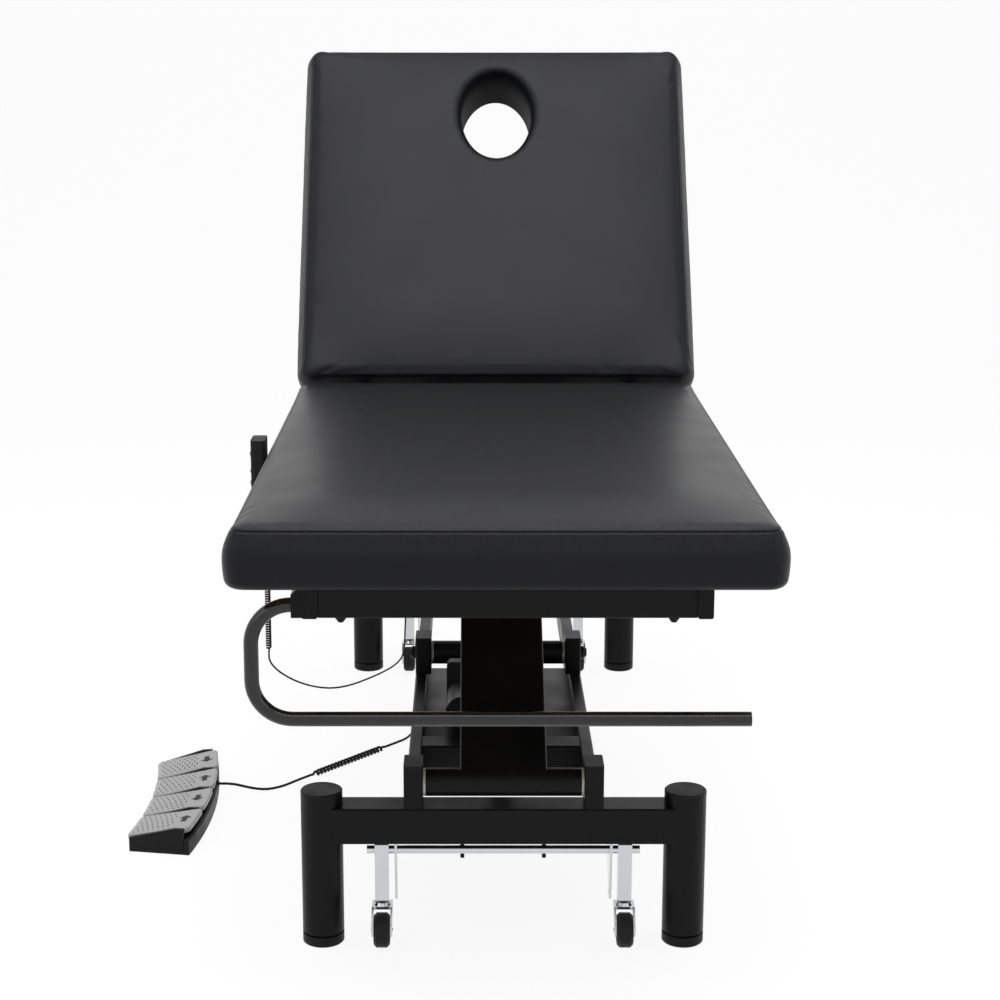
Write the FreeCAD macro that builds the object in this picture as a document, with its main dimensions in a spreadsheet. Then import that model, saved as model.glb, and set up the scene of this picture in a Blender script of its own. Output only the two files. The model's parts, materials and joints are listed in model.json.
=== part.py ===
"""Electric treatment table: parallelogram lift base, two-section padded top, paper-roll bar,
retractable casters, handset and four-treadle foot switch. Millimetres, +Z up, +Y to the head end,
X = 0 is the plane of symmetry, Y = 0 is midway between the corner posts, Z = 0 is the floor."""
import FreeCAD, Part
import math
import os
import re
import Sketcher
from FreeCAD import Placement, Rotation, Vector

doc = FreeCAD.newDocument("treatment_table")

# Driving dimensions
SIZES = {
    # corner posts and beams
    "post_spread": 520, "post_pitch": 1333, "post_diameter": 60, "post_wall": 3, "post_top": 231.5,
    "foot_height": 15, "foot_gap": 3, "foot_edge": 2, "cap_thickness": 4, "cap_edge": 1.5, "post_floor": 8,
    "stud_diameter": 12, "stud_gap": 0.2, "stud_reach": 30, "beam_size": 53, "beam_top": 210,
    "tube_wall": 3, "tube_corner": 3,
    # base
    "rail_spread": 284, "rail_width": 20, "bracket_width": 27, "bracket_depth": 50, "bracket_top": 274,
    "plate_thickness": 3, "plate_top": 170, "plate_front": -373, "plate_back": 113,
    "member_depth": 50, "seat_depth": 30, "seat_height": 25, "clevis_seat": 110,
    "beam_bolt_x": 59, "beam_bolt_back": 16, "beam_bolt_reach": 36, "beam_bolt_diameter": 6,
    # lift
    "pivot_height": 242, "arm_distance": 640, "arm_length": 576, "arm_angle": 30, "arm_width": 124,
    "arm_depth": 40, "arm_wall": 4, "arm_corner": 4, "pivot_tube_diameter": 40, "bush_flange": 3.5,
    "side_gap": 0.5, "bolt_diameter": 12, "running_gap": 0.05, "bolt_head_diameter": 22,
    "bolt_head_height": 11, "bolt_dome_diameter": 13.2, "bush_length": 30,
    # lift actuator
    "lift_pin_y": -109, "lift_pin_height": 232, "lift_lug_along": 160, "lift_lug_drop": 37,
    "actuator_tube": 44, "actuator_rod": 25, "actuator_body": 300, "gearbox_depth": 42,
    "motor_diameter": 54, "motor_length": 163, "motor_offset": 60, "motor_drop": 31, "rod_inside": 150,
    "pin_diameter": 14, "lug_thickness": 8, "tab_width": 16, "lug_gap": 1, "rod_bore_gap": 0.05,
    "slot_length": 35, "slot_height": 29, "slot_shift": 4.5, "slot_drop": 2.8, "slot_rim": 8,
    "tab_neck": 4, "casing_rim": 4, "collar_length": 14, "collar_rim": 3, "bore_floor": 8,
    "nose_rim": 7, "nose_length": 5, "pin_proud": 2, "eye_rim": 5, "lift_neck": 52,
    # top frame, from the front upper pivot
    "frame_width": 520, "frame_height": 50, "frame_front": -775, "frame_back": 340, "side_rail_width": 20,
    "rail_cap_thickness": 3, "cross_depth": 40, "sub_height": 50, "sub_front": -120, "sub_back": 718,
    "pivot_above_sub": 18, "dome_diameter": 14, "dome_height": 10, "dome_x": 212, "box_cross_y": -452,
    "outrigger_y": 218, "clevis_reach": 18, "clevis_rise": 24, "clevis_cross_depth": 30,
    "box_front": -472, "box_length": 140, "box_height": 60, "box_width": 210, "box_edge": 8,
    "gland_diameter": 10, "gland_length": 14, "gland_x": 152,
    # pads
    "pad_width": 700, "pad_height": 80, "board_thickness": 12, "board_inset": 12,
    "pad_corner": 28, "pad_crown": 6, "pad_roll": 10, "pad_seam": 7, "crown_slope": 120,
    "pad_steps": 5, "seat_front": -817, "seat_back": 303,
    # backrest
    "hinge_y": 324.2, "hinge_height": 134, "back_angle": 56.2, "back_start": 13, "back_length": 688,
    "hinge_pin": 10, "ear_length": 40, "hinge_reach": 16, "hinge_proud": 3, "hinge_clear": 1, "ear_gap": 4,
    "knuckle": 20, "back_rail_height": 30, "back_rail_width": 20, "back_rail_inset": 50, "lever_cross_y": 24,
    "upper_cross_y": 390, "hole_width": 133, "hole_length": 186, "hole_centre": 556,
    "sleeve_wall": 3, "sleeve_tail": 28, "sleeve_lip": 14,
    # back actuator
    "back_pin_y": 45, "back_pin_height": 20, "back_lever_along": -14, "back_lever_drop": 92,
    "back_tube": 34, "back_rod": 20, "back_body": 208, "back_motor": 40, "back_motor_length": 120,
    "back_motor_offset": 46, "back_slot_length": 21, "back_slot_height": 30, "back_slot_shift": -1.67,
    "back_slot_drop": 1.37, "back_rod_inside": 53, "back_neck": 44,
    # paper-roll bar
    "bar_diameter": 19, "bar_y": -757, "bar_height": 45, "bar_drop": 152, "bar_stub": 1, "bar_overhang": 54,
    "bar_bend": 52, "socket_width": 14, "socket_depth": 32, "socket_rise": 0, "socket_height": 38,
    "socket_edge": 8,
    # casters
    "rod_diameter": 12, "rod_half": 196, "rod_height": 139.5, "leg_size": 20, "leg_spread": 349,
    "leg_top": 152, "leg_bottom": 61, "leg_corner": 4, "hanger_x": 154, "hanger_thickness": 3.5,
    "hanger_tip": 67, "hanger_front": 17, "hanger_back": 68, "hanger_nose": 8, "hanger_drop": 6,
    "hanger_rise": 4, "hanger_eye": 9, "wheel_diameter": 50, "wheel_width": 23, "wheel_lift": 1,
    "wheel_edge": 4, "wheel_hub": 22.5, "wheel_dish": 2, "wheel_dish_in": 26, "wheel_dish_out": 33,
    "wheel_rim": 36, "caster_trail": 24, "fork_width": 30, "fork_sheet": 3, "crown_depth": 26,
    "crown_height": 4, "crown_dome": 4, "crown_dome_edge": 3, "crown_gap": 0.5,
    "cheek_tip": 9, "axle_diameter": 6, "axle_proud": 1, "stem_diameter": 8, "stem_reach": 22,
    # foot switch
    "switch_radius": 1112, "switch_edge": -481, "switch_y": -154.5, "switch_span": 20.2,
    "switch_width": 106, "switch_height": 26, "rib_top": 43, "switch_floor": 6, "switch_wall": 8,
    "rib_width": 6, "treadle_low": 26, "treadle_high": 45, "treadle_thickness": 11, "treadle_gap": 1,
    "treadle_pin": 4, "pin_inset": 15, "pin_depth": 9, "treadle_lip": 6,
    "treadle_undercut": 3, "treadle_edge": 2,
    "switch_edge_cut": 3, "rib_clear": 1, "switch_gland_height": 22, "switch_gland_angle": 3.8,
    "switch_gland_length": 6,
    # handset, from the front upper pivot
    "handset_clear": 5, "handset_y": -232, "handset_bottom": 10, "handset_height": 150,
    "handset_width": 48, "handset_depth": 22, "handset_corner": 6, "tail_length": 12, "tail_diameter": 8,
    "coil_back": 3, "hook_gap": 4, "hook_drop": 50, "hook_sheet": 3, "hook_width": 30,
    "key_height": 30, "key_width": 26, "key_depth": 5, "key_proud": 2, "key_gap": 0.7, "key_room": 2.5,
    "key_first": 100, "key_step": 44, "key_pin": 3, "key_pin_depth": 3, "key_pin_reach": 2.5,
    # cords
    "handset_cord": 2.8, "handset_coil_outer": 9.6, "handset_coil_pitch": 3.7, "handset_turns": 44,
    "switch_cord": 4.5, "switch_coil_outer": 12, "switch_turns": 21, "lead_gland_y": 331,
    "handset_lead_rise": 36, "switch_lead_run": 22,
}

sheet = doc.addObject("Spreadsheet::Sheet", "dims")
for row, (alias, value) in enumerate(SIZES.items(), start=1):
    sheet.set(f"A{row}", alias)
    sheet.set(f"B{row}", str(value))
    sheet.setAlias(f"B{row}", alias)
doc.recompute()

ALIAS = re.compile(r"\b(" + "|".join(sorted(SIZES, key=len, reverse=True)) + r")\b")
NODES = {}
TOLERANCE = 1e-6


def size(name):
    """A driving dimension, read back from the sheet."""
    return float(sheet.get(name))


def bound(expression):
    """An expression in plain aliases, with each alias pointing at the sheet."""
    return ALIAS.sub(r"dims.\1", str(expression))


def bind(obj, **properties):
    for name, expression in properties.items():
        obj.setExpression(name, bound(expression))


def move_to(obj, x, y, z):
    for axis, expression in zip("xyz", (x, y, z)):
        obj.setExpression(f"Placement.Base.{axis}", bound(expression))


def turn(obj, axis, angle_expression):
    obj.Placement = Placement(Vector(0, 0, 0), Rotation(Vector(*axis), 10))
    obj.setExpression("Placement.Rotation.Angle", bound(angle_expression))


def node(obj, label):
    """Names a finished piece: the label is its file's name."""
    obj.Label = label
    NODES[label] = obj
    return obj


def box(name, x, y, z, length, width, height):
    """A block from its low corner and its sizes."""
    block = doc.addObject("Part::Box", name)
    bind(block, Length=length, Width=width, Height=height)
    move_to(block, x, y, z)
    return block


CYLINDER_TURNS = {"z": Rotation(), "x": Rotation(Vector(0, 1, 0), 90), "y": Rotation(Vector(1, 0, 0), -90)}


def cylinder(name, axis, x, y, z, diameter, length):
    """A cylinder along +X, +Y or +Z from the centre of its first end."""
    rod = doc.addObject("Part::Cylinder", name)
    rod.Placement = Placement(Vector(0, 0, 0), CYLINDER_TURNS[axis])
    bind(rod, Radius=f"({diameter}) / 2", Height=length)
    move_to(rod, x, y, z)
    return rod


def fuse(name, *pieces):
    joined = doc.addObject("Part::MultiFuse", name)
    joined.Shapes = list(pieces)
    joined.Refine = True
    return joined


def cut(name, base, *tools):
    result = doc.addObject("Part::Cut", name)
    result.Base = base
    result.Tool = tools[0] if len(tools) == 1 else fuse(name + "_tools", *tools)
    return result


def group(name, *pieces):
    """Separate solids that share one node."""
    together = doc.addObject("Part::Compound", name)
    together.Links = list(pieces)
    return together


def mirror(name, source, normal):
    copy = doc.addObject("Part::Mirroring", name)
    copy.Source = source
    copy.Base = Vector(0, 0, 0)
    copy.Normal = Vector(*normal)
    return copy


def both_sides(name, piece):
    return [piece, mirror(name + "_right", piece, (1, 0, 0))]


def four_corners(name, piece):
    pair = both_sides(name, piece)
    return pair + [mirror(f"{name}_rear_{i}", one, (0, 1, 0)) for i, one in enumerate(pair)]


def round_edges(name, base, radius, direction):
    """Rounds a block's edges that run along one axis."""
    doc.recompute()
    rounded = doc.addObject("Part::Fillet", name)
    rounded.Base = base
    chosen = []
    for number, edge in enumerate(base.Shape.Edges, start=1):
        along = edge.Vertexes[-1].Point - edge.Vertexes[0].Point
        if along.Length > 0 and abs(abs(along.normalize().dot(Vector(*direction))) - 1) < TOLERANCE:
            chosen.append((number, radius, radius))
    rounded.Edges = chosen
    return rounded


AXES = {"x": (1, 0, 0), "y": (0, 1, 0), "z": (0, 0, 1)}


def tube(name, axis, x, y, z, length, width, height):
    """A rounded hollow rectangular tube, open at both ends, from its low corner and its sizes."""
    outer = round_edges(name + "_round", box(name + "_outer", x, y, z, length, width, height),
                        size("tube_corner"), AXES[axis])
    low, sizes = [x, y, z], [length, width, height]
    for index, letter in enumerate("xyz"):
        sign = "-" if letter != axis else "+"
        low[index] = f"{low[index]} + tube_wall" if sign == "-" else f"{low[index]} - tube_wall"
        sizes[index] = f"({sizes[index]}) {sign} 2 * tube_wall"
    return cut(name, outer, box(name + "_bore", *low, *sizes))


def outline(sketch, points):
    """A closed polygon whose corners are bound to the sheet."""
    values = [tuple(evaluate(part) for part in point) for point in points]
    count = len(points)
    for i in range(count):
        start, end = values[i], values[(i + 1) % count]
        sketch.addGeometry(Part.LineSegment(Vector(*start, 0), Vector(*end, 0)), False)
    for i in range(count):
        sketch.addConstraint(Sketcher.Constraint("Coincident", i, 2, (i + 1) % count, 1))
    for i, point in enumerate(points):
        for kind, expression, value in zip(("DistanceX", "DistanceY"), point, values[i]):
            number = sketch.addConstraint(Sketcher.Constraint(kind, -1, 1, i, 1, value))
            sketch.setExpression(f"Constraints[{number}]", bound(expression))


def evaluate(expression):
    """The value of an expression in plain aliases."""
    return float(sheet.evalExpression(bound(expression)))


def body_with_sketch(name, plane, points):
    body = doc.addObject("PartDesign::Body", name)
    sketch = body.newObject("Sketcher::SketchObject", name + "_sketch")
    origin_plane = [feature for feature in body.Origin.OriginFeatures if feature.Role == plane][0]
    sketch.AttachmentSupport = [(origin_plane, "")]
    sketch.MapMode = "FlatFace"
    outline(sketch, points)
    return body, sketch


def padded(name, plane, points, length):
    """A profile pushed out evenly to both sides of its plane."""
    body, sketch = body_with_sketch(name, plane, points)
    pad = body.newObject("PartDesign::Pad", name + "_pad")
    pad.Profile = sketch
    pad.SideType = "Symmetric"
    bind(pad, Length=length)
    return body


def turned(name, points, angle="360"):
    """A profile in (radius, height) turned about the upright axis."""
    body, sketch = body_with_sketch(name, "XZ_Plane", points)
    revolution = body.newObject("PartDesign::Revolution", name + "_turn")
    revolution.Profile = sketch
    revolution.ReferenceAxis = (sketch, ["V_Axis"])
    revolution.Midplane = True
    bind(revolution, Angle=angle)
    return body


def shaped(label, shape):
    """A piece whose surface is worked out here."""
    feature = doc.addObject("Part::Feature", label)
    feature.Shape = shape
    return node(feature, label)


# Places worked out from the driving dimensions
POST_Y = "post_pitch / 2"
REAR_PIVOT_Y = "(arm_distance - post_pitch / 2)"
BEAM_LOW = "(beam_top - beam_size)"
RAIL_IN = "(rail_spread / 2 - rail_width)"
CHEEK_IN = "(rail_spread / 2 - bracket_width)"
TUBE_HALF = f"({CHEEK_IN} - side_gap - bush_flange)"
TOP_Y = "(arm_length * cos(arm_angle) - post_pitch / 2)"
TOP_Z = "(pivot_height + arm_length * sin(arm_angle))"
FRAME_LOW = "(sub_height - pivot_above_sub)"
FRAME_HIGH = f"({FRAME_LOW} + frame_height)"
PAD_LOW = FRAME_HIGH
SIDE_IN = "(frame_width / 2 - side_rail_width)"
LUG_IN = "(tab_width / 2 + lug_gap)"
HANDSET_BACK = "(-pad_width / 2 - handset_clear)"
HANDSET_FRONT = f"({HANDSET_BACK} - handset_depth)"
COIL_X = f"({HANDSET_BACK} - coil_back)"


def place_on_top(piece):
    """The top's pieces are drawn from its front upper pivot, which the arm carries."""
    move_to(piece, "0", TOP_Y, TOP_Z)
    return piece


def place_on_back(piece):
    """The backrest's pieces are drawn flat from its hinge axis."""
    turn(piece, (1, 0, 0), "back_angle")
    move_to(piece, "0", f"{TOP_Y} + hinge_y", f"{TOP_Z} + hinge_height")
    return piece


# Base

def make_posts():
    low = "foot_height + foot_gap"
    high = "post_top - cap_thickness"
    hole = "stud_diameter / 2 + stud_gap"
    radius = "post_diameter / 2"
    post = turned("post", [(hole, low), (radius, low), (radius, high), (f"{radius} - post_wall", high),
                           (f"{radius} - post_wall", f"{low} + post_floor"), (hole, f"{low} + post_floor")])
    cap = turned("cap", [("0", high), (radius, high), (radius, "post_top - cap_edge"),
                         (f"{radius} - cap_edge", "post_top"), ("0", "post_top")])
    foot = turned("foot", [("0", "0"), (f"{radius} - foot_edge", "0"), (radius, "foot_edge"),
                           (radius, "foot_height"), ("stud_diameter / 2", "foot_height"),
                           ("stud_diameter / 2", "foot_height + stud_reach"),
                           ("0", "foot_height + stud_reach")])
    for piece, label in ((post, "corner_posts"), (cap, "post_caps"), (foot, "levelling_feet")):
        move_to(piece, "-post_spread / 2", f"-{POST_Y}", "0")
        node(group(label + "_set", *four_corners(label, piece)), label)


def make_beams():
    beam = tube("beam", "x", "-post_spread / 2", f"-{POST_Y} - beam_size / 2", BEAM_LOW,
                "post_spread", "beam_size", "beam_size")
    saddles = [cylinder(f"saddle_{side}", "z", f"{side} * post_spread / 2", f"-{POST_Y}", "0",
                        "post_diameter", "post_top") for side in (-1, 1)]
    front = cut("front_beam_coped", beam, *saddles)
    node(front, "front_beam")
    node(mirror("rear_beam_coped", front, (0, 1, 0)), "rear_beam")


def make_base_frame():
    rail = tube("rail", "y", "-rail_spread / 2", f"beam_size / 2 - {POST_Y}", BEAM_LOW,
                "rail_width", "post_pitch - beam_size", "beam_size")
    node(group("rails", *both_sides("rail", rail)), "base_rails")
    node(box("plate", f"-{RAIL_IN}", "plate_front", "plate_top - plate_thickness",
             f"2 * {RAIL_IN}", "plate_back - plate_front", "plate_thickness"), "base_plate")
    front = tube("front_member", "x", f"-{RAIL_IN}", "plate_front - member_depth", BEAM_LOW,
                 f"2 * {RAIL_IN}", "member_depth", "beam_size")
    seat = tube("clevis_seat", "x", "-clevis_seat / 2", "lift_pin_y - seat_depth / 3", "plate_top",
                "clevis_seat", "seat_depth", "seat_height")
    node(group("members", front, seat), "cross_members")


def make_brackets():
    pieces = []
    for place, y in (("front", f"-{POST_Y}"), ("rear", REAR_PIVOT_Y)):
        block = round_edges(f"{place}_bracket_round",
                            box(f"{place}_bracket_block", CHEEK_IN, f"{y} - bracket_depth / 2", "beam_top",
                                "bracket_width", "bracket_depth", "bracket_top - beam_top"),
                            size("tube_corner"), AXES["z"])
        hole = cylinder(f"{place}_bracket_hole", "x", "0", y, "pivot_height", "bolt_diameter", "rail_spread")
        pieces += both_sides(f"{place}_bracket", cut(f"{place}_bracket", block, hole))
    node(group("brackets", *pieces), "pivot_brackets")


BOLT_REACH = "bracket_width + side_gap + bush_flange + bush_length"


def pivot_bolt(name):
    """A domed pivot bolt along +Z, whose head rests at height zero."""
    shank, head = "bolt_diameter / 2", "bolt_head_diameter / 2"
    body = turned(name, [("0", f"-({BOLT_REACH})"), (shank, f"-({BOLT_REACH})"), (shank, "0"), (head, "0"),
                         (head, "bolt_head_height / 2"), ("bolt_dome_diameter / 2", "bolt_head_height"),
                         ("0", "bolt_head_height")])
    body.Placement = Placement(Vector(0, 0, 0), CYLINDER_TURNS["x"])
    return body


def make_base_bolts():
    bolt = pivot_bolt("rear_pivot_bolt")
    move_to(bolt, "rail_spread / 2", REAR_PIVOT_Y, "pivot_height")
    stud = cylinder("front_pivot_stud", "x", f"rail_spread / 2 - ({BOLT_REACH})", f"-{POST_Y}",
                    "pivot_height", "bolt_diameter", BOLT_REACH)
    pieces = both_sides("rear_pivot_bolt", bolt) + both_sides("front_pivot_stud", stud)
    y = f"beam_bolt_back - {POST_Y}"
    tail = cylinder("beam_bolt", "z", "beam_bolt_x", y, f"{BEAM_LOW} - beam_bolt_reach",
                    "beam_bolt_diameter", "beam_bolt_reach")
    nut = cylinder("beam_nut", "z", "beam_bolt_x", y, f"{BEAM_LOW} - beam_bolt_diameter",
                   "2 * beam_bolt_diameter", "beam_bolt_diameter")
    pieces += four_corners("beam_bolt", fuse("beam_bolt_and_nut", tail, nut))
    node(group("base_bolt_set", *pieces), "base_bolts")


def make_lift_clevis():
    low = "(plate_top + seat_height)"
    cheek = box("clevis_cheek", LUG_IN, "lift_pin_y - pin_diameter", low,
                "lug_thickness", "2 * pin_diameter", f"lift_pin_height + pin_diameter - {low}")
    hole = cylinder("clevis_hole", "x", "0", "lift_pin_y", "lift_pin_height", "pin_diameter",
                    "rail_spread / 2")
    cheek = cut("clevis_cheek_bored", round_edges("clevis_round", cheek, size("tube_corner"), AXES["x"]),
                hole)
    pin = cylinder("clevis_pin", "x", f"-{LUG_IN} - lug_thickness", "lift_pin_y", "lift_pin_height",
                   "pin_diameter", f"2 * ({LUG_IN} + lug_thickness)")
    node(group("lift_clevis_set", *both_sides("clevis", cheek), pin), "lift_clevis")


# Lift arms

def make_arm(label, y, lugs):
    ends = (("low", "0"), ("high", "arm_length"))
    tubes, saddles = [], []
    for place, along in ends:
        bounds = ("x", f"-{TUBE_HALF}", along, "0")
        span = f"2 * {TUBE_HALF}"
        outer = cylinder(f"{label}_tube_{place}_outer", *bounds, "pivot_tube_diameter", span)
        bore = cylinder(f"{label}_tube_{place}_bore", *bounds, "pivot_tube_diameter - 2 * arm_wall", span)
        tubes.append(cut(f"{label}_tube_{place}", outer, bore))
        saddles.append(outer)
    block = box(f"{label}_block", "-arm_width / 2", "0", "-arm_depth / 2", "arm_width", "arm_length",
                "arm_depth")
    beam = round_edges(f"{label}_round", block, size("arm_corner"), AXES["y"])
    hollow = box(f"{label}_hollow", "arm_wall - arm_width / 2", "arm_depth", "arm_wall - arm_depth / 2",
                 "arm_width - 2 * arm_wall", "arm_length - 2 * arm_depth", "arm_depth - 2 * arm_wall")
    web = cut(f"{label}_beam", beam, hollow, *saddles)
    arm = group(f"{label}_weldment", *tubes, web, *lugs)
    inner, outer = "bolt_diameter / 2 + running_gap", "pivot_tube_diameter / 2 - arm_wall"
    bushes = []
    for place, along in ends:
        bush = turned(f"{label}_bush_{place}", [
            (inner, "-bush_length"), (outer, "-bush_length"), (outer, "0"), ("pivot_tube_diameter / 2", "0"),
            ("pivot_tube_diameter / 2", "bush_flange"), (inner, "bush_flange")])
        bush.Placement = Placement(Vector(0, 0, 0), CYLINDER_TURNS["x"])
        move_to(bush, TUBE_HALF, along, "0")
        bushes += both_sides(f"{label}_bush_{place}", bush)
    for piece, name in ((arm, label), (group(f"{label}_bush_set", *bushes), f"{label}_bushes")):
        turn(piece, (1, 0, 0), "arm_angle")
        move_to(piece, "0", y, "pivot_height")
        node(piece, name)


def lift_lugs():
    """Two plates under the front arm, with a slot that leaves the rod's pin room to wander."""
    plates = []
    slot = round_edges("lift_slot_round", box(
        "lift_slot", f"-{LUG_IN} - 2 * lug_thickness", "lift_lug_along + slot_shift - slot_length / 2",
        "-lift_lug_drop - slot_drop - slot_height / 2", f"2 * {LUG_IN} + 4 * lug_thickness", "slot_length",
        "slot_height"), size("pin_diameter") / 2, AXES["x"])
    for side, x in (("left", f"-{LUG_IN} - lug_thickness"), ("right", LUG_IN)):
        plate = box(f"lift_lug_{side}", x, "lift_lug_along + slot_shift - slot_length / 2 - slot_rim",
                    "-lift_lug_drop - slot_drop - slot_height / 2 - slot_rim", "lug_thickness",
                    "slot_length + 2 * slot_rim",
                    "lift_lug_drop + slot_drop + slot_height / 2 + slot_rim - arm_depth / 2")
        plates.append(cut(f"lift_lug_{side}_slotted", plate, slot))
    return plates


# Actuators, drawn along +Y from the rear pin

def make_actuator(label, sizes, place):
    """A gearbox with a tab, an outer tube, a motor beside it, and a rod that slides in the tube."""
    tube_end, motor_x, motor_drop = sizes["body"], sizes["motor_x"], sizes["motor_drop"]
    gear_y = "pin_diameter + tab_neck"
    front = f"({gear_y} + gearbox_depth)"
    tab_hole = cylinder(f"{label}_tab_hole", "x", "-tab_width", "0", "0", "pin_diameter + 2 * running_gap",
                        "2 * tab_width")
    tab = fuse(f"{label}_tab_fused",
               cylinder(f"{label}_tab_eye", "x", "-tab_width / 2", "0", "0", "2 * pin_diameter", "tab_width"),
               box(f"{label}_tab", "-tab_width / 2", "0", "-pin_diameter", "tab_width", gear_y,
                   "2 * pin_diameter"))
    tube_side = f"({sizes['tube']} / 2 + casing_rim)"
    motor_side = f"({sizes['motor_offset']} + {sizes['motor']} / 2)"
    low_z = f"(-{motor_drop} - {sizes['motor']} / 2)"
    left = motor_side if sizes["motor_on_left"] else tube_side
    gear_block = box(f"{label}_gear", f"-{left}", gear_y, low_z, f"{tube_side} + {motor_side}",
                     "gearbox_depth", f"{tube_side} - {low_z}")
    gearbox = round_edges(f"{label}_gear_round", gear_block, 2 * size("arm_corner"), AXES["y"])
    sleeve = cylinder(f"{label}_sleeve", "y", "0", front, "0", sizes["tube"], f"{tube_end} - {front}")
    collar = cylinder(f"{label}_collar", "y", "0", f"{tube_end} - collar_length", "0",
                      f"{sizes['tube']} + 2 * collar_rim", "collar_length")
    bore = cylinder(f"{label}_bore", "y", "0", f"{front} + bore_floor", "0",
                    f"{sizes['rod']} + 2 * rod_bore_gap", tube_end)
    motor = cylinder(f"{label}_motor", "y", motor_x, front, f"-{motor_drop}", sizes["motor"],
                     sizes["motor_length"])
    nose = cylinder(f"{label}_nose", "y", motor_x, f"{front} + {sizes['motor_length']}", f"-{motor_drop}",
                    f"{sizes['motor']} - 2 * nose_rim", "nose_length")
    solid = fuse(f"{label}_fused", tab, gearbox, sleeve, collar, motor, nose)
    body = cut(f"{label}_bored", solid, tab_hole, bore)

    reach, neck = sizes["length"], sizes["neck"]
    eye = cylinder(f"{label}_eye", "x", "-tab_width / 2", reach, "0", "pin_diameter + 2 * eye_rim",
                   "tab_width")
    blade = box(f"{label}_blade", "-tab_width / 2", f"{reach} - {neck}", "-pin_diameter / 2 - eye_rim / 2",
                "tab_width", neck, "pin_diameter + eye_rim")
    shaft = cylinder(f"{label}_shaft", "y", "0", f"{tube_end} - {sizes['inside']}", "0", sizes["rod"],
                     f"{reach} - {neck} - {tube_end} + {sizes['inside']}")
    half_pin = f"({LUG_IN} + lug_thickness + pin_proud)"
    pin = cylinder(f"{label}_rod_pin", "x", f"-{half_pin}", reach, "0", "pin_diameter", f"2 * {half_pin}")
    rod = fuse(f"{label}_rod_fused", eye, blade, shaft, pin)
    if sizes["faces_foot_end"]:
        body = group(f"{label}_body_turned", mirror(f"{label}_body_mirrored", body, AXES["y"]))
        rod = group(f"{label}_rod_turned", mirror(f"{label}_rod_mirrored", rod, AXES["y"]))
    node(place(body), f"{label}_actuator")
    node(place(rod), f"{label}_rod")


LIFT_DY = f"(lift_lug_along * cos(arm_angle) + lift_lug_drop * sin(arm_angle) - {POST_Y} - lift_pin_y)"
LIFT_DZ = ("(pivot_height + lift_lug_along * sin(arm_angle) - lift_lug_drop * cos(arm_angle)"
           " - lift_pin_height)")
LIFT_LENGTH = f"sqrt({LIFT_DY} ^ 2 + {LIFT_DZ} ^ 2)"
BACK_DY = "(hinge_y + back_lever_along * cos(back_angle) + back_lever_drop * sin(back_angle) - back_pin_y)"
BACK_DZ = ("(hinge_height + back_lever_along * sin(back_angle) - back_lever_drop * cos(back_angle)"
           " - back_pin_height)")
BACK_LENGTH = f"sqrt({BACK_DY} ^ 2 + {BACK_DZ} ^ 2)"


def place_lift_actuator(piece):
    turn(piece, (1, 0, 0), f"atan({LIFT_DZ} / {LIFT_DY})")
    move_to(piece, "0", "lift_pin_y", "lift_pin_height")
    return piece


def place_back_actuator(piece):
    turn(piece, (1, 0, 0), f"atan({BACK_DZ} / {BACK_DY})")
    move_to(piece, "0", f"{TOP_Y} + back_pin_y", f"{TOP_Z} + back_pin_height")
    return piece


# Top frame, drawn from the front upper pivot

def make_top_frame():
    rail = tube("side_rail", "y", "-frame_width / 2", "frame_front", FRAME_LOW,
                "side_rail_width", "frame_back - frame_front", "frame_height")
    cap_block = box("rail_cap", "-frame_width / 2", "frame_front - rail_cap_thickness", FRAME_LOW,
                    "side_rail_width", "rail_cap_thickness", "frame_height")
    cap = round_edges("rail_cap_round", cap_block, size("tube_corner"), AXES["y"])
    rails = group("side_rail_set", *both_sides("side_rail", rail), *both_sides("rail_cap", cap))
    node(place_on_top(rails), "side_rails")

    places = (("frame_front", "cross_depth"), ("box_cross_y", "cross_depth"),
              ("back_pin_y - clevis_reach - clevis_cross_depth", "clevis_cross_depth"))
    tubes = [tube(f"cross_tube_{i}", "x", f"-{SIDE_IN}", y, FRAME_LOW, f"2 * {SIDE_IN}", depth,
                  "frame_height")
             for i, (y, depth) in enumerate(places)]
    outrigger = tube("outrigger", "x", CHEEK_IN, "outrigger_y", FRAME_LOW, f"{SIDE_IN} - {CHEEK_IN}",
                     "cross_depth", "cross_depth")
    low = "(back_pin_height - pin_diameter)"
    cheek = box("back_cheek", LUG_IN, "back_pin_y - clevis_reach", low, "lug_thickness",
                "clevis_reach + pin_diameter", f"{FRAME_LOW} + clevis_rise - {low}")
    hole = cylinder("back_cheek_hole", "x", "0", "back_pin_y", "back_pin_height", "pin_diameter",
                    "rail_spread / 2")
    cheek = cut("back_cheek_bored", cheek, hole)
    pin = cylinder("back_clevis_pin", "x", f"-{LUG_IN} - lug_thickness", "back_pin_y", "back_pin_height",
                   "pin_diameter", f"2 * ({LUG_IN} + lug_thickness)")
    gland = cylinder("handset_gland", "z", "-gland_x", "outrigger_y + cross_depth / 2",
                     f"{FRAME_LOW} - gland_length", "gland_diameter", "gland_length")
    parts = tubes + both_sides("outrigger", outrigger) + both_sides("back_cheek", cheek) + [pin, gland]
    node(place_on_top(group("cross_tube_set", *parts)), "cross_tubes")


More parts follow.
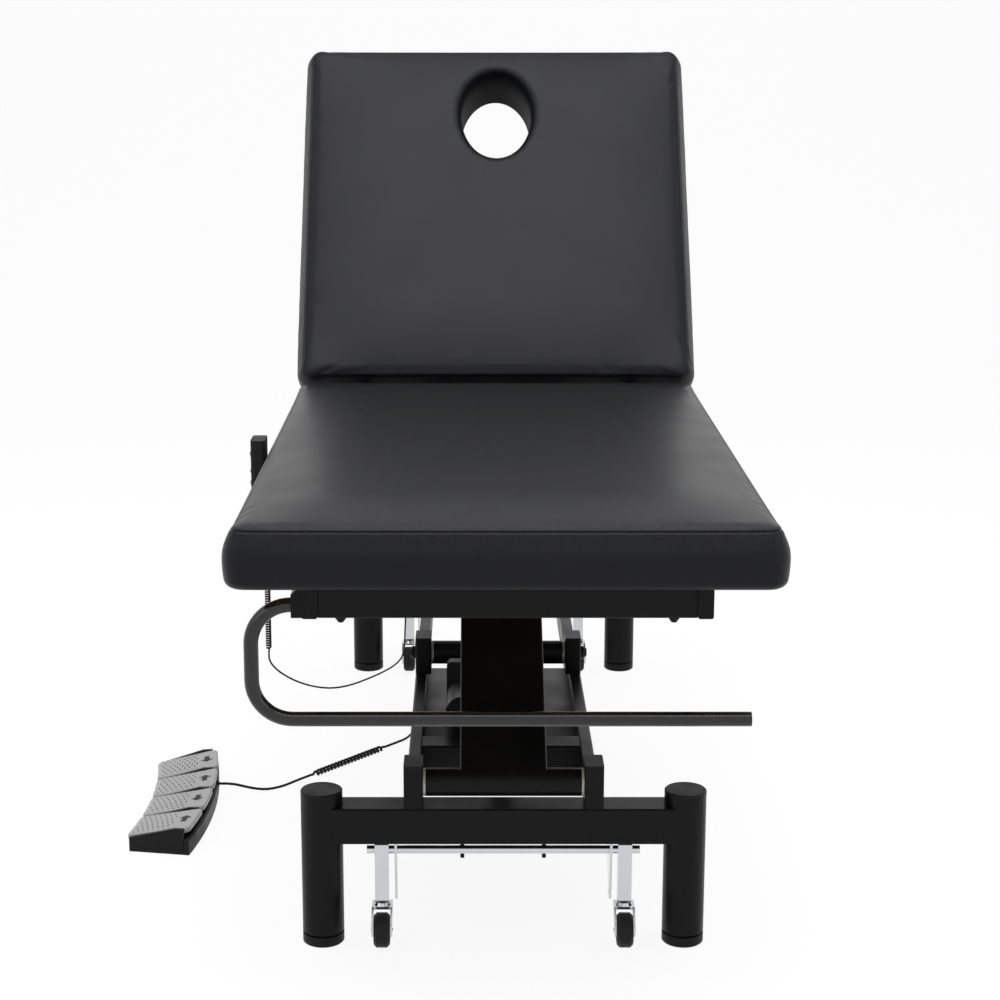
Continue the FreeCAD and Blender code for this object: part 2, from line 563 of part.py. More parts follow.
def make_subframe():
    bar = box("sub_block", CHEEK_IN, "sub_front", "-pivot_above_sub", "bracket_width", "sub_back - sub_front",
              "sub_height")
    block = round_edges("sub_round", bar, size("tube_corner"), AXES["y"])
    holes = [cylinder(f"sub_hole_{i}", "x", "0", y, "0", "bolt_diameter", "rail_spread")
             for i, y in enumerate(("0", "arm_distance"))]
    rail = cut("sub_rail", block, *holes)
    tie = tube("sub_tie", "x", f"-{CHEEK_IN}", "sub_back - clevis_cross_depth", "-pivot_above_sub",
               f"2 * {CHEEK_IN}", "clevis_cross_depth", "sub_height")
    node(place_on_top(group("subframe_set", *both_sides("sub_rail", rail), tie)), "subframe_rails")

    bolts = []
    for i, y in enumerate(("0", "arm_distance")):
        bolt = pivot_bolt(f"upper_bolt_{i}")
        move_to(bolt, "rail_spread / 2", y, "0")
        bolts += both_sides(f"upper_bolt_{i}", bolt)
    dome = turned("dome_nut", [("0", "0"), ("dome_diameter / 2", "0"),
                               ("dome_diameter / 2", "-dome_height / 2"),
                               ("dome_diameter / 4", "-dome_height"), ("0", "-dome_height")])
    move_to(dome, "dome_x", "frame_front + cross_depth / 2", FRAME_LOW)
    bolts += both_sides("dome_nut", dome)
    node(place_on_top(group("frame_bolt_set", *bolts)), "frame_bolts")


def make_control_box():
    low, high = f"{FRAME_LOW} - box_height", FRAME_LOW
    front, back, edge = "box_front", "box_front + box_length", "box_edge"
    case = padded("box_case", "YZ_Plane", [
        (front, high), (front, f"{low} + {edge}"), (f"{front} + {edge}", low), (f"{back} - {edge}", low),
        (back, f"{low} + {edge}"), (back, high)], "box_width")
    move_to(case, "0", TOP_Y, TOP_Z)
    node(case, "control_box")


def make_roll_bar():
    inner = "(-frame_width / 2)"
    outer = f"({inner} - socket_width)"
    low = f"({FRAME_LOW} + socket_rise)"
    high = f"({FRAME_LOW} + socket_height)"
    socket = padded("socket", "XZ_Plane", [
        (inner, low), (outer, low), (outer, f"{high} - socket_edge"), (f"{outer} + socket_edge", high),
        (inner, high)], "socket_depth")
    move_to(socket, "0", f"{TOP_Y} + bar_y", TOP_Z)
    node(socket, "roll_bar_socket")

    bend = size("bar_bend")
    start, stub = evaluate(outer), size("bar_stub")
    left, right = start - stub - bend, evaluate("frame_width / 2 + bar_overhang")
    high, low = size("bar_height"), size("bar_height") - size("bar_drop")
    corner = bend * (1 - math.sqrt(0.5))
    points = [Vector(x, 0, z) for x, z in (
        (start, high), (left + bend, high), (left + corner, high - corner), (left, high - bend),
        (left, low + bend), (left + corner, low + corner), (left + bend, low), (right, low))]
    path = Part.Wire([
        Part.LineSegment(points[0], points[1]).toShape(), Part.Arc(*points[1:4]).toShape(),
        Part.LineSegment(points[3], points[4]).toShape(), Part.Arc(*points[4:7]).toShape(),
        Part.LineSegment(points[6], points[7]).toShape()])
    feature = shaped("roll_bar", pipe(path, points[0], Vector(-1, 0, 0), size("bar_diameter")))
    move_to(feature, "0", f"{TOP_Y} + bar_y", TOP_Z)


def pipe(path, start, direction, diameter):
    """A round tube of one diameter carried along a path of runs and arcs."""
    ring = Part.Wire(Part.Circle(start, direction, diameter / 2).toShape())
    return path.makePipeShell([ring], True, False)


# Pads

def pad_section(width, length, inset, corner, z):
    """A rounded rectangle of lines and quarter arcs, drawn in by inset."""
    half, radius = width / 2 - inset, max(corner - inset, corner / 3)
    low, high = inset, length - inset
    skew = radius * (1 - math.sqrt(0.5))
    corners = ((half, low, -1, 1), (half, high, -1, -1), (-half, high, 1, -1), (-half, low, 1, 1))
    edges, last = [], None
    for i, (x, y, sx, sy) in enumerate(corners):
        first = Vector(x + sx * radius, y, z) if i % 2 == 0 else Vector(x, y + sy * radius, z)
        final = Vector(x, y + sy * radius, z) if i % 2 == 0 else Vector(x + sx * radius, y, z)
        middle = Vector(x + sx * skew, y + sy * skew, z)
        if last is not None:
            edges.append(Part.LineSegment(last, first).toShape())
        edges.append(Part.Arc(first, middle, final).toShape())
        last = final
    edges.append(Part.LineSegment(last, Vector(half - radius, low, z)).toShape())
    return Part.Wire(edges)


def pad_profile():
    """Insets and heights up a cushion's side: a rolled lower edge, a full side, a seam and a low crown."""
    height, crown, roll = size("pad_height"), size("pad_crown"), size("pad_roll")
    seam, slope, steps = size("pad_seam"), size("crown_slope"), int(size("pad_steps"))
    top = height - crown
    profile = []
    for i in range(steps):
        lean = math.radians(90 * i / steps)
        profile.append((roll * (1 - math.sin(lean)), roll * (1 - math.cos(lean))))
    for i in range(steps + 1):
        lean = math.radians(90 * i / steps)
        profile.append((seam * (1 - math.cos(lean)), top - 2 * seam * (1 - math.sin(lean))))
    for i in range(1, steps + 1):
        along = i / steps
        profile.append((seam + slope * along, top + crown * math.sin(math.radians(90 * along))))
    return profile


def pad_shape(length):
    """A cushion built up in narrow bands."""
    width, corner = size("pad_width"), size("pad_corner")
    bands = [pad_section(width, length, inset, corner, z) for inset, z in pad_profile()]
    return Part.makeLoft(bands, True, True)


def board_shape(length, z):
    inset = size("board_inset")
    return Part.makeBox(size("pad_width") - 2 * inset, length - 2 * inset, size("board_thickness"),
                        Vector(inset - size("pad_width") / 2, inset, z))


def oval_prism(width, length, centre, low, high):
    """An upright oval column."""
    ring = Part.Ellipse(Vector(0, centre, low), length / 2, width / 2).toShape()
    ring.rotate(Vector(0, centre, low), Vector(0, 0, 1), 90)
    return Part.Face(Part.Wire(ring)).extrude(Vector(0, 0, high - low))


def make_seat():
    length = size("seat_back") - size("seat_front")
    board = board_shape(length, 0)
    for label, solid in (("seat_board", board), ("seat_pad", pad_shape(length).cut(board))):
        feature = shaped(label, solid)
        move_to(feature, "0", f"{TOP_Y} + seat_front", f"{TOP_Z} + {PAD_LOW}")


def make_back_pads():
    length, low = size("back_length"), evaluate(f"{PAD_LOW} - hinge_height")
    start, height = size("back_start"), size("pad_height")
    centre, width, oval = size("hole_centre"), size("hole_width"), size("hole_length")
    hole = oval_prism(width, oval, centre, low - height, low + 2 * height)
    sleeve_low, sleeve_high = low - size("sleeve_tail"), low + height - size("sleeve_lip")
    wall = 2 * size("sleeve_wall")
    sleeve = oval_prism(width, oval, centre, sleeve_low, sleeve_high).cut(
        oval_prism(width - wall, oval - wall, centre, sleeve_low - wall, sleeve_high + wall))
    board = board_shape(length, 0)
    pad = pad_shape(length).cut(board)
    for solid in (board, pad):
        solid.translate(Vector(0, start, low))
    solids = {"back_board": board.cut(hole), "back_pad": pad.cut(hole), "face_sleeve": sleeve}
    for label, solid in solids.items():
        place_on_back(shaped(label, solid))


# Backrest frame and hinge

def make_hinge():
    plate_x, top = f"({SIDE_IN} + hinge_clear)", "hinge_height"
    plate = fuse("hinge_plate", box("hinge_post", plate_x, "hinge_y - knuckle / 2", FRAME_HIGH,
                                    "lug_thickness", "knuckle", f"{top} - {FRAME_HIGH}"),
                 cylinder("hinge_knuckle", "x", plate_x, "hinge_y", top, "knuckle", "lug_thickness"))
    hole = cylinder("hinge_hole", "x", "0", "hinge_y", top, "hinge_pin", "frame_width")
    pin = cylinder("hinge_pin_right", "x", f"{plate_x} - hinge_reach", "hinge_y", top, "hinge_pin",
                   "hinge_reach + lug_thickness + hinge_proud")
    pieces = both_sides("hinge_plate", cut("hinge_plate_bored", plate, hole)) + both_sides("hinge_pin", pin)
    node(place_on_top(group("hinge_set", *pieces)), "hinge_brackets")


def make_back_frame():
    low = f"({PAD_LOW} - hinge_height - back_rail_height)"
    ear_x = f"({SIDE_IN} + hinge_clear - ear_gap - lug_thickness)"
    rail_x = f"({ear_x} - back_rail_width)"
    bar = box("back_rail", rail_x, "back_start", low, "back_rail_width", "back_length - back_rail_inset",
              "back_rail_height")
    rail = round_edges("back_rail_round", bar, size("tube_corner"), AXES["y"])
    ear = fuse("ear_fused",
               box("ear_foot", ear_x, "-knuckle / 2", low, "lug_thickness", "back_start + ear_length",
                   "back_rail_height"),
               box("ear_stem", ear_x, "-knuckle / 2", low, "lug_thickness", "knuckle", f"-{low}"),
               cylinder("ear_knuckle", "x", ear_x, "0", "0", "knuckle", "lug_thickness"))
    bore = cylinder("ear_bore", "x", "0", "0", "0", "hinge_pin + 2 * running_gap", "frame_width")
    pieces = both_sides("back_rail", rail) + both_sides("ear", cut("ear_bored", ear, bore))
    for place, y in (("lever", "lever_cross_y"), ("upper", "upper_cross_y")):
        pieces.append(box(f"{place}_cross", f"-{rail_x}", y, low, f"2 * {rail_x}", "back_rail_width",
                          "back_rail_height"))
    slot_y = "(back_lever_along + back_slot_shift - back_slot_length / 2)"
    slot_z = "(-back_lever_drop - back_slot_drop - back_slot_height / 2)"
    plate = box("back_lever_block", LUG_IN, f"{slot_y} - slot_rim", f"{slot_z} - slot_rim", "lug_thickness",
                f"lever_cross_y - {slot_y} + slot_rim", "back_slot_height + 2 * slot_rim")
    opening = box("back_slot", "0", slot_y, slot_z, "4 * lug_thickness", "back_slot_length",
                  "back_slot_height")
    slot = round_edges("back_slot_round", opening, size("pin_diameter") / 2, AXES["x"])
    pieces += both_sides("back_lever", cut("back_lever_slotted", plate, slot))
    node(place_on_back(group("back_frame_weldment", *pieces)), "back_frame")


# Casters

LEG_X = "leg_spread / 2"
AXLE_Z = "(wheel_diameter / 2 + wheel_lift)"


def make_caster_axle(label, y):
    rod = cylinder(f"{label}_rod", "x", "-rod_half", y, "rod_height", "rod_diameter", "2 * rod_half")
    legs = []
    for side, sign in (("left", -1), ("right", 1)):
        leg = round_edges(f"{label}_{side}_round", box(
            f"{label}_{side}_block", f"{sign} * {LEG_X} - leg_size / 2", f"{y} - leg_size / 2", "leg_bottom",
            "leg_size", "leg_size", "leg_top - leg_bottom"), size("leg_corner"), AXES["x"])
        hole = cylinder(f"{label}_{side}_stem_hole", "z", f"{sign} * {LEG_X}", y, "leg_bottom",
                        "stem_diameter + 2 * running_gap", "stem_reach + 2 * crown_gap")
        legs.append(cut(f"{label}_{side}_leg", leg, hole, rod))
    node(group(f"{label}_set", rod, *legs), label)


def make_hangers():
    rod_z = "rod_height"
    plate = padded("hanger_plate", "YZ_Plane", [
        ("-hanger_front", BEAM_LOW), ("-hanger_front", f"{rod_z} - hanger_drop"),
        ("-hanger_nose", "hanger_tip"),
        ("hanger_nose", "hanger_tip"), ("hanger_back", f"{rod_z} + hanger_rise"),
        ("beam_size / 2", BEAM_LOW)], "hanger_thickness")
    move_to(plate, "-hanger_x", f"-{POST_Y}", "0")
    holes = [cylinder("hanger_rod_hole", "x", "-rod_half", f"-{POST_Y}", rod_z,
                      "rod_diameter + 2 * running_gap", "rod_half"),
             cylinder("hanger_tip_hole", "x", "-rod_half", f"-{POST_Y}", "hanger_tip + hanger_eye",
                      "axle_diameter", "rod_half")]
    node(group("hanger_set", *four_corners("hanger", cut("hanger_bored", plate, *holes))), "caster_hangers")


def make_caster(place, sign, y):
    x = f"{sign} * {LEG_X}"
    crown_top = "(leg_bottom - crown_gap)"
    crown_low = f"({crown_top} - crown_dome - crown_height)"
    dome_low, dome_out = f"({crown_top} - crown_dome)", "crown_depth / 2"
    dome = turned(f"crown_dome_{place}", [("0", dome_low), (dome_out, dome_low),
                                          (f"{dome_out} - crown_dome_edge", crown_top), ("0", crown_top)])
    crown = round_edges(f"crown_round_{place}", box(
        f"crown_{place}", "-fork_width / 2", "-crown_depth / 2", crown_low, "fork_width", "crown_depth",
        "crown_height"), size("leg_corner"), AXES["z"])
    stem = cylinder(f"stem_{place}", "z", "0", "0", crown_top, "stem_diameter", "stem_reach + crown_gap")
    cheeks = []
    for cheek_sign in (-1, 1):
        cheek = padded(f"cheek_{place}_{cheek_sign + 1}", "YZ_Plane", [
            ("-crown_depth / 2", f"{crown_low} + crown_height"),
            ("crown_depth / 2", f"{crown_low} + crown_height"),
            ("crown_depth / 2", crown_low), ("-caster_trail + cheek_tip", f"{AXLE_Z} - cheek_tip / 2"),
            ("-caster_trail + cheek_tip / 2", f"{AXLE_Z} - cheek_tip"),
            ("-caster_trail - cheek_tip / 2", f"{AXLE_Z} - cheek_tip"),
            ("-caster_trail - cheek_tip", f"{AXLE_Z} - cheek_tip / 2"),
            ("-caster_trail - cheek_tip", f"{AXLE_Z} + cheek_tip")], "fork_sheet")
        move_to(cheek, f"{cheek_sign} * (fork_width - fork_sheet) / 2", "0", "0")
        cheeks.append(cheek)
    axle = cylinder(f"axle_{place}", "x", "-fork_width / 2 - axle_proud", "-caster_trail", AXLE_Z,
                    "axle_diameter", "fork_width + 2 * axle_proud")
    fork = fuse(f"fork_{place}", crown, dome, stem, *cheeks, axle)
    move_to(fork, x, y, "0")
    node(fork, f"caster_fork_{place}")

    bore, rim, half = "axle_diameter / 2 + running_gap", "wheel_diameter / 2", "wheel_width / 2"
    side = [("wheel_hub / 2", half), ("wheel_dish_in / 2", f"{half} - wheel_dish"),
            ("wheel_dish_out / 2", f"{half} - wheel_dish"), ("wheel_rim / 2", half),
            (f"{rim} - wheel_edge", half), (rim, f"{half} - wheel_edge")]
    other_side = [(radius, f"-({height})") for radius, height in side]
    wheel = turned(f"wheel_{place}", [(bore, f"-{half}")] + other_side + side[::-1] + [(bore, half)])
    wheel.Placement = Placement(Vector(0, 0, 0), CYLINDER_TURNS["x"])
    move_to(wheel, x, f"{y} - caster_trail", AXLE_Z)
    node(wheel, f"caster_wheel_{place}")


# Foot switch, drawn about the centre of its curve

RIB_ANGLE = "(rib_width / switch_radius * 180 / pi)"
TREADLE_OUT = "(switch_radius - treadle_gap)"
PIN_R = f"({TREADLE_OUT} - pin_inset)"
PIN_Z = "(treadle_high - pin_depth)"
TREADLES = 4
TREADLE_STEP = f"(switch_span - {RIB_ANGLE}) / {TREADLES}"
PIN_HALF = f"({PIN_R} * {TREADLE_STEP} * pi / 360 - rib_clear / 2)"


def place_switch(piece):
    move_to(piece, "switch_edge - switch_radius", "switch_y", "0")
    return piece


def make_switch():
    inner = "(switch_radius - switch_width + treadle_lip)"
    wall = "(switch_radius - switch_wall)"
    floor = turned("switch_plate", [(inner, "0"), ("switch_radius", "0"), ("switch_radius", "switch_floor"),
                                    (inner, "switch_floor")], "switch_span")
    rim = turned("switch_rim", [
        (wall, "switch_floor"), ("switch_radius", "switch_floor"),
        ("switch_radius", "switch_height - switch_edge_cut"),
        ("switch_radius - switch_edge_cut", "switch_height"), (wall, "switch_height")], "switch_span")
    pins = []
    for i in range(TREADLES):
        rod = cylinder(f"treadle_rod_{i}", "y", PIN_R, f"-{PIN_HALF}", PIN_Z, "treadle_pin",
                       f"2 * {PIN_HALF}")
        pin = group(f"treadle_pin_{i}", rod)
        turn(pin, AXES["z"], f"{TREADLE_STEP} * ({i} - ({TREADLES} - 1) / 2)")
        pins.append(pin)
    ribs = []
    for i in range(TREADLES + 1):
        rib = padded(f"switch_rib_{i}", "XZ_Plane", [
            (inner, "switch_floor"), (f"{wall} - rib_clear", "switch_floor"),
            (f"{wall} - rib_clear", "rib_top"), (f"{PIN_R} - pin_depth", "rib_top"),
            (inner, "treadle_low - treadle_lip / 2")], "rib_width")
        turn(rib, AXES["z"], f"(switch_span - {RIB_ANGLE}) * ({i} / {TREADLES} - 0.5)")
        ribs.append(cut(f"switch_rib_{i}_bored", rib, *pins[max(i - 1, 0):i + 1]))
    boss = cylinder("switch_gland_rod", "x", f"{wall} + switch_wall / 2", "0", "switch_gland_height",
                    "gland_diameter", "switch_gland_length")
    gland = group("switch_gland_turned", boss)
    turn(gland, AXES["z"], "switch_gland_angle")
    gland = cut("switch_gland", gland, rim)
    node(place_switch(group("switch_base_set", floor, rim, *ribs, gland)), "switch_base")
    node(place_switch(group("switch_pin_set", *pins)), "switch_pins")

    low = "(switch_radius - switch_width)"
    width = f"({TREADLE_STEP} - (rib_width + 2 * treadle_gap) / switch_radius * 180 / pi)"
    for i in range(TREADLES):
        plate = turned(f"treadle_plate_{i}", [
            (low, "treadle_low - treadle_thickness + treadle_undercut"),
            (f"{low} + treadle_lip", "treadle_low - treadle_thickness"),
            (TREADLE_OUT, "treadle_high - treadle_thickness - treadle_lip"),
            (TREADLE_OUT, "treadle_high - treadle_edge"), (f"{TREADLE_OUT} - treadle_edge", "treadle_high"),
            (low, "treadle_low")], width)
        bore = cylinder(f"treadle_bore_{i}", "y", PIN_R, "-switch_width", PIN_Z,
                        "treadle_pin + 2 * running_gap", "2 * switch_width")
        treadle = cut(f"treadle_{i}_bored", plate, bore)
        turn(treadle, AXES["z"], f"{TREADLE_STEP} * ({i} - ({TREADLES} - 1) / 2)")
        node(place_switch(treadle), f"treadle_{i + 1}")


# Handset, drawn from the top's front upper pivot

def make_handset():
    under = f"({PAD_LOW} - hook_gap)"
    low_y = "handset_y - hook_width / 2"
    shelf = box("hook_shelf", HANDSET_BACK, low_y, f"{under} - hook_sheet",
                f"-frame_width / 2 - {HANDSET_BACK}", "hook_width", "hook_sheet")
    leaf = box("hook_leaf", HANDSET_BACK, low_y, f"{under} - hook_drop", "hook_sheet", "hook_width",
               "hook_drop - hook_sheet")
    node(place_on_top(group("hook_set", shelf, leaf)), "handset_hook")

    front = HANDSET_FRONT
    block = box("handset_block", front, "handset_y - handset_width / 2", "handset_bottom", "handset_depth",
                "handset_width", "handset_height")
    case = round_edges("handset_round", block, size("handset_corner"), AXES["z"])
    tail = cylinder("handset_tail", "z", COIL_X, "handset_y", "handset_bottom - tail_length", "tail_diameter",
                    "tail_length")
    pin_x, pin_half = f"({front} + key_pin_depth)", "(key_width / 2 + key_gap + key_pin_reach)"
    pockets = []
    for name, z in (("height_key", "key_first"), ("back_key", "key_first - key_step")):
        low = f"(handset_bottom + {z})"
        middle = f"({low} + key_height / 2)"
        pockets.append(box(f"{name}_pocket", f"{front} - key_proud", "handset_y - key_width / 2 - key_gap",
                           f"{low} - key_gap", "key_depth + key_room + key_proud", "key_width + 2 * key_gap",
                           "key_height + 2 * key_gap"))
        pockets.append(cylinder(f"{name}_pin_bore", "y", pin_x, f"handset_y - {pin_half} - key_gap", middle,
                                "key_pin + 2 * running_gap", f"2 * ({pin_half} + key_gap)"))
        crest = f"({front} + key_depth)"
        rocker = padded(f"{name}_rocker", "XZ_Plane", [
            (crest, low), (crest, f"{low} + key_height"), (f"{front} - key_proud", f"{low} + key_height"),
            (f"{front} + key_proud / 2", middle), (f"{front} - key_proud", low)], "key_width")
        move_to(rocker, "0", "handset_y", "0")
        pin = cylinder(f"{name}_pin", "y", pin_x, f"handset_y - {pin_half}", middle, "key_pin",
                       f"2 * {pin_half}")
        node(place_on_top(fuse(f"{name}_fused", rocker, pin)), name)
    node(place_on_top(cut("handset_case", fuse("handset_fused", case, tail), *pockets)), "handset")


# Cords

ARC_SHARE = 0.45
ARCS_PER_TURN = 4
SAMPLES_PER_TURN = 24
LEAD_GLAND_X = "(rail_width / 2 - rail_spread / 2)"


def biarc(first, first_way, last, last_way):
    """Two tangent arcs of equal reach from one point and direction to another."""
    span, ways = last - first, first_way + last_way
    lean = span.dot(ways)
    swing = 2 * (1 - first_way.dot(last_way))
    reach = (math.sqrt(lean ** 2 + swing * span.dot(span)) - lean) / swing
    meet = (first + first_way * reach + last - last_way * reach) * 0.5
    return [tangent_arc(first, first_way, meet), tangent_arc(last, last_way * -1, meet, True)]


def tangent_arc(start, way, end, backwards=False):
    """The arc from a point, leaving along a direction, to another; straight where they line up."""
    chord = end - start
    side = chord - way * chord.dot(way)
    if side.Length < TOLERANCE:
        return Part.LineSegment(end, start).toShape() if backwards else Part.LineSegment(start, end).toShape()
    side.normalize()
    centre = start + side * (chord.dot(chord) / (2 * chord.dot(side)))
    radius = (start - centre).Length
    middle = centre + ((start - centre) + (end - centre)).normalize() * radius
    ends = (end, middle, start) if backwards else (start, middle, end)
    return Part.Arc(*ends).toShape()


def coil_edges(start, way, turns, pitch, radius, tail):
    """A curly cord: a helix that leaves its axis over one turn and comes back to it over the last."""
    way = Vector(way).normalize()
    across = way.cross(Vector(0, 0, 1) if abs(way.z) < 0.9 else Vector(1, 0, 0)).normalize()
    up = way.cross(across)

    def swell(turn_at):
        edge = min(turn_at, turns - turn_at, 1.0)
        return radius * edge * edge * (3 - 2 * edge)

    def rise(turn_at):
        first, last = min(turn_at, 1.0), min(turns - turn_at, 1.0)
        return tail + pitch * (turn_at + first * (2 - first) + 1 - last * (2 - last))

    def point(turn_at):
        angle = 2 * math.pi * turn_at
        out = across * math.cos(angle) + up * math.sin(angle)
        return start + way * rise(turn_at) + out * swell(turn_at)

    def heading(turn_at):
        step = 1e-5
        low, high = max(turn_at - step, 0), min(turn_at + step, turns)
        return (point(high) - point(low)).normalize()

    steps = int(turns * ARCS_PER_TURN)
    marks = [i / ARCS_PER_TURN for i in range(steps + 1)]
    ways = [way] + [heading(mark) for mark in marks[1:-1]] + [way]
    edges = [Part.LineSegment(start, point(0)).toShape()]
    for i in range(steps):
        edges += biarc(point(marks[i]), ways[i], point(marks[i + 1]), ways[i + 1])
    end = point(turns) + way * tail
    edges.append(Part.LineSegment(point(turns), end).toShape())
    samples = [point(i / SAMPLES_PER_TURN) for i in range(int(turns * SAMPLES_PER_TURN) + 1)]
    return edges, end, samples


def least_gap(samples, diameter):
    """The smallest gap between one turn and the next, from points along the coil."""
    half_turn, next_turns = SAMPLES_PER_TURN // 2 + 2, 2 * SAMPLES_PER_TURN
    nearest = min((samples[i] - samples[j]).Length for i in range(0, len(samples), 3)
                  for j in range(i + half_turn, min(i + next_turns, len(samples))))
    return nearest - diameter


def make_coil(label, start, way, turns, pitch, outer, diameter):
    """The coil's piece and the point where it ends."""
    edges, end, samples = coil_edges(start, way, turns, pitch, (outer - diameter) / 2, diameter)
    solid = pipe(Part.Wire(edges), start, Vector(way), diameter)
    print(f"{label}: least gap {least_gap(samples, diameter):.2f} mm over {turns} turns")
    return shaped(label, solid), end


def make_lead(label, points, diameter):
    """A free stretch of cord: straight runs joined by arcs as large as the runs allow."""
    points = [Vector(*point) for point in points]
    edges, last, radii = [], points[0], []
    for before, corner, after in zip(points, points[1:], points[2:]):
        into, out = (corner - before), (after - corner)
        run = ARC_SHARE * min(into.Length, out.Length)
        into, out = Vector(into).normalize(), Vector(out).normalize()
        half_turn = into.getAngle(out) / 2
        first, final = corner - into * run, corner + out * run
        radius = run / math.tan(half_turn)
        radii.append(radius)
        middle = corner + (out - into).normalize() * (radius / math.cos(half_turn) - radius)
        edges += [Part.LineSegment(last, first).toShape(), Part.Arc(first, middle, final).toShape()]
        last = final
    edges.append(Part.LineSegment(last, points[-1]).toShape())
    path = Part.Wire(edges)
    solid = pipe(path, points[0], points[1] - points[0], diameter)
    ideal = math.pi * diameter ** 2 / 4 * path.Length
    print(f"{label}: length {path.Length:.0f} mm, volume ratio {solid.Volume / ideal:.4f}, "
          f"tightest bend {min(radii):.1f} mm")
    return shaped(label, solid)


# Route points of the leads between their glands and coils. The handset's are measured from its coil's end.
HANDSET_ROUTE = [
    (0, 0, 0), (0, 0, -9), (5, 1.6, -20), (18, 6, -34), (40, 18, -51), (66, 38, -66), (92, 64, -77),
    (118, 101.7, -84), (144, 149.7, -88), (165, 199.7, -93), (182, 251.7, -98), (193, 304.7, -102),
    (197, 351.7, -98), (196.5, 391.7, -84), (197, 421.7, -57), (199.5, 443.7, -17), (202.5, 457.7, 33),
    (205, 467, 85)]
SWITCH_ROUTE = [(-432, -73.5, 12), (-404, -63.5, 4), (-376, -45, 3.4), (-352, -21.5, 6.2), (-334, 0, 6.2)]
INNER_ROUTE = [
    (-200, 160, 6.2), (-182, 181.5, 6.2), (-168, 207, 3.4), (-159, 236, 2.7), (-152, 265, 4),
    (-145.5, 291, 14), (-139, 311, 36), (-134, 324, 68), (-132, 330.5, 104)]


def make_cords():
    top = Vector(evaluate(COIL_X), size("handset_y"), size("handset_bottom") - size("tail_length"))
    coil, end = make_coil("handset_coil", top, Vector(0, 0, -1), size("handset_turns"),
                          size("handset_coil_pitch"), size("handset_coil_outer"), size("handset_cord"))
    gland = Vector(-size("gland_x"), evaluate("outrigger_y + cross_depth / 2"),
                   evaluate(f"{FRAME_LOW} - gland_length"))
    route = [end + Vector(*point) for point in HANDSET_ROUTE]
    route += [gland - Vector(0, 0, size("handset_lead_rise")), gland]
    place_on_top(coil)
    place_on_top(make_lead("handset_lead", route, size("handset_cord")))

    angle = math.radians(size("switch_gland_angle"))
    out = Vector(math.cos(angle), math.sin(angle), 0)
    centre = Vector(evaluate("switch_edge - switch_radius"), size("switch_y"), size("switch_gland_height"))
    gland = centre + out * evaluate("switch_radius - switch_wall / 2 + switch_gland_length")
    cord = size("switch_cord")
    make_lead("switch_lead", [gland, gland + out * size("switch_lead_run")] + SWITCH_ROUTE, cord)
    start, goal = Vector(*SWITCH_ROUTE[-1]), Vector(*INNER_ROUTE[0])
    pitch = ((goal - start).Length - 2 * cord) / (size("switch_turns") + 2)
    make_coil("switch_coil", start, goal - start, size("switch_turns"), pitch, size("switch_coil_outer"),
              cord)
    gland = (evaluate(LEAD_GLAND_X), size("lead_gland_y"), evaluate(f"{BEAM_LOW} - gland_length"))
    make_lead("switch_lead_inner", INNER_ROUTE + [gland], cord)


def make_lead_gland():
    return cylinder("lead_gland", "z", LEAD_GLAND_X, "lead_gland_y", f"{BEAM_LOW} - gland_length",
                    "gland_diameter", "gland_length")


def main():
    make_posts()
    make_beams()
    make_base_frame()
    node(make_lead_gland(), "lead_gland")
    make_brackets()
    make_base_bolts()
    make_lift_clevis()
    make_arm("front_arm", f"-{POST_Y}", lift_lugs())
    make_arm("rear_arm", REAR_PIVOT_Y, [])
    make_actuator("lift", {
        "tube": "actuator_tube", "rod": "actuator_rod", "body": "actuator_body", "length": LIFT_LENGTH,
        "neck": "lift_neck", "inside": "rod_inside", "motor": "motor_diameter",
        "motor_length": "motor_length",
        "motor_offset": "motor_offset", "motor_x": "(-motor_offset)", "motor_on_left": True,
        "motor_drop": "motor_drop", "faces_foot_end": True}, place_lift_actuator)
    make_top_frame()
    make_subframe()
    make_control_box()
    make_roll_bar()
    make_seat()
    make_hinge()
    make_back_pads()
    make_back_frame()
    make_actuator("back", {
        "tube": "back_tube", "rod": "back_rod", "body": "back_body", "length": BACK_LENGTH,
        "neck": "back_neck", "inside": "back_rod_inside", "motor": "back_motor",
        "motor_length": "back_motor_length",
        "motor_offset": "back_motor_offset", "motor_x": "back_motor_offset", "motor_on_left": False,
        "motor_drop": "0", "faces_foot_end": False}, place_back_actuator)
    make_hangers()
    for end, y in (("front", f"(-{POST_Y})"), ("rear", f"({POST_Y})")):
        make_caster_axle(f"{end}_caster_axle", y)
        for side, sign in (("left", -1), ("right", 1)):
            make_caster(f"{end}_{side}", sign, y)
    make_switch()
    make_handset()
    make_cords()
    doc.recompute()

    for obj in doc.Objects:
        if {"Invalid", "Error"} & set(obj.State):
            raise RuntimeError(f"{obj.Name} failed: {obj.State}")
    os.makedirs("parts", exist_ok=True)
    for label, obj in NODES.items():
        if obj.Shape.isNull() or not obj.Shape.isValid() or not obj.Shape.Solids:
            raise RuntimeError(f"{label} has no valid solid")
    for label, obj in NODES.items():
        obj.Shape.exportStep(f"parts/{label}.step")
    print(len(NODES), "nodes")


main()
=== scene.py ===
import json
import math

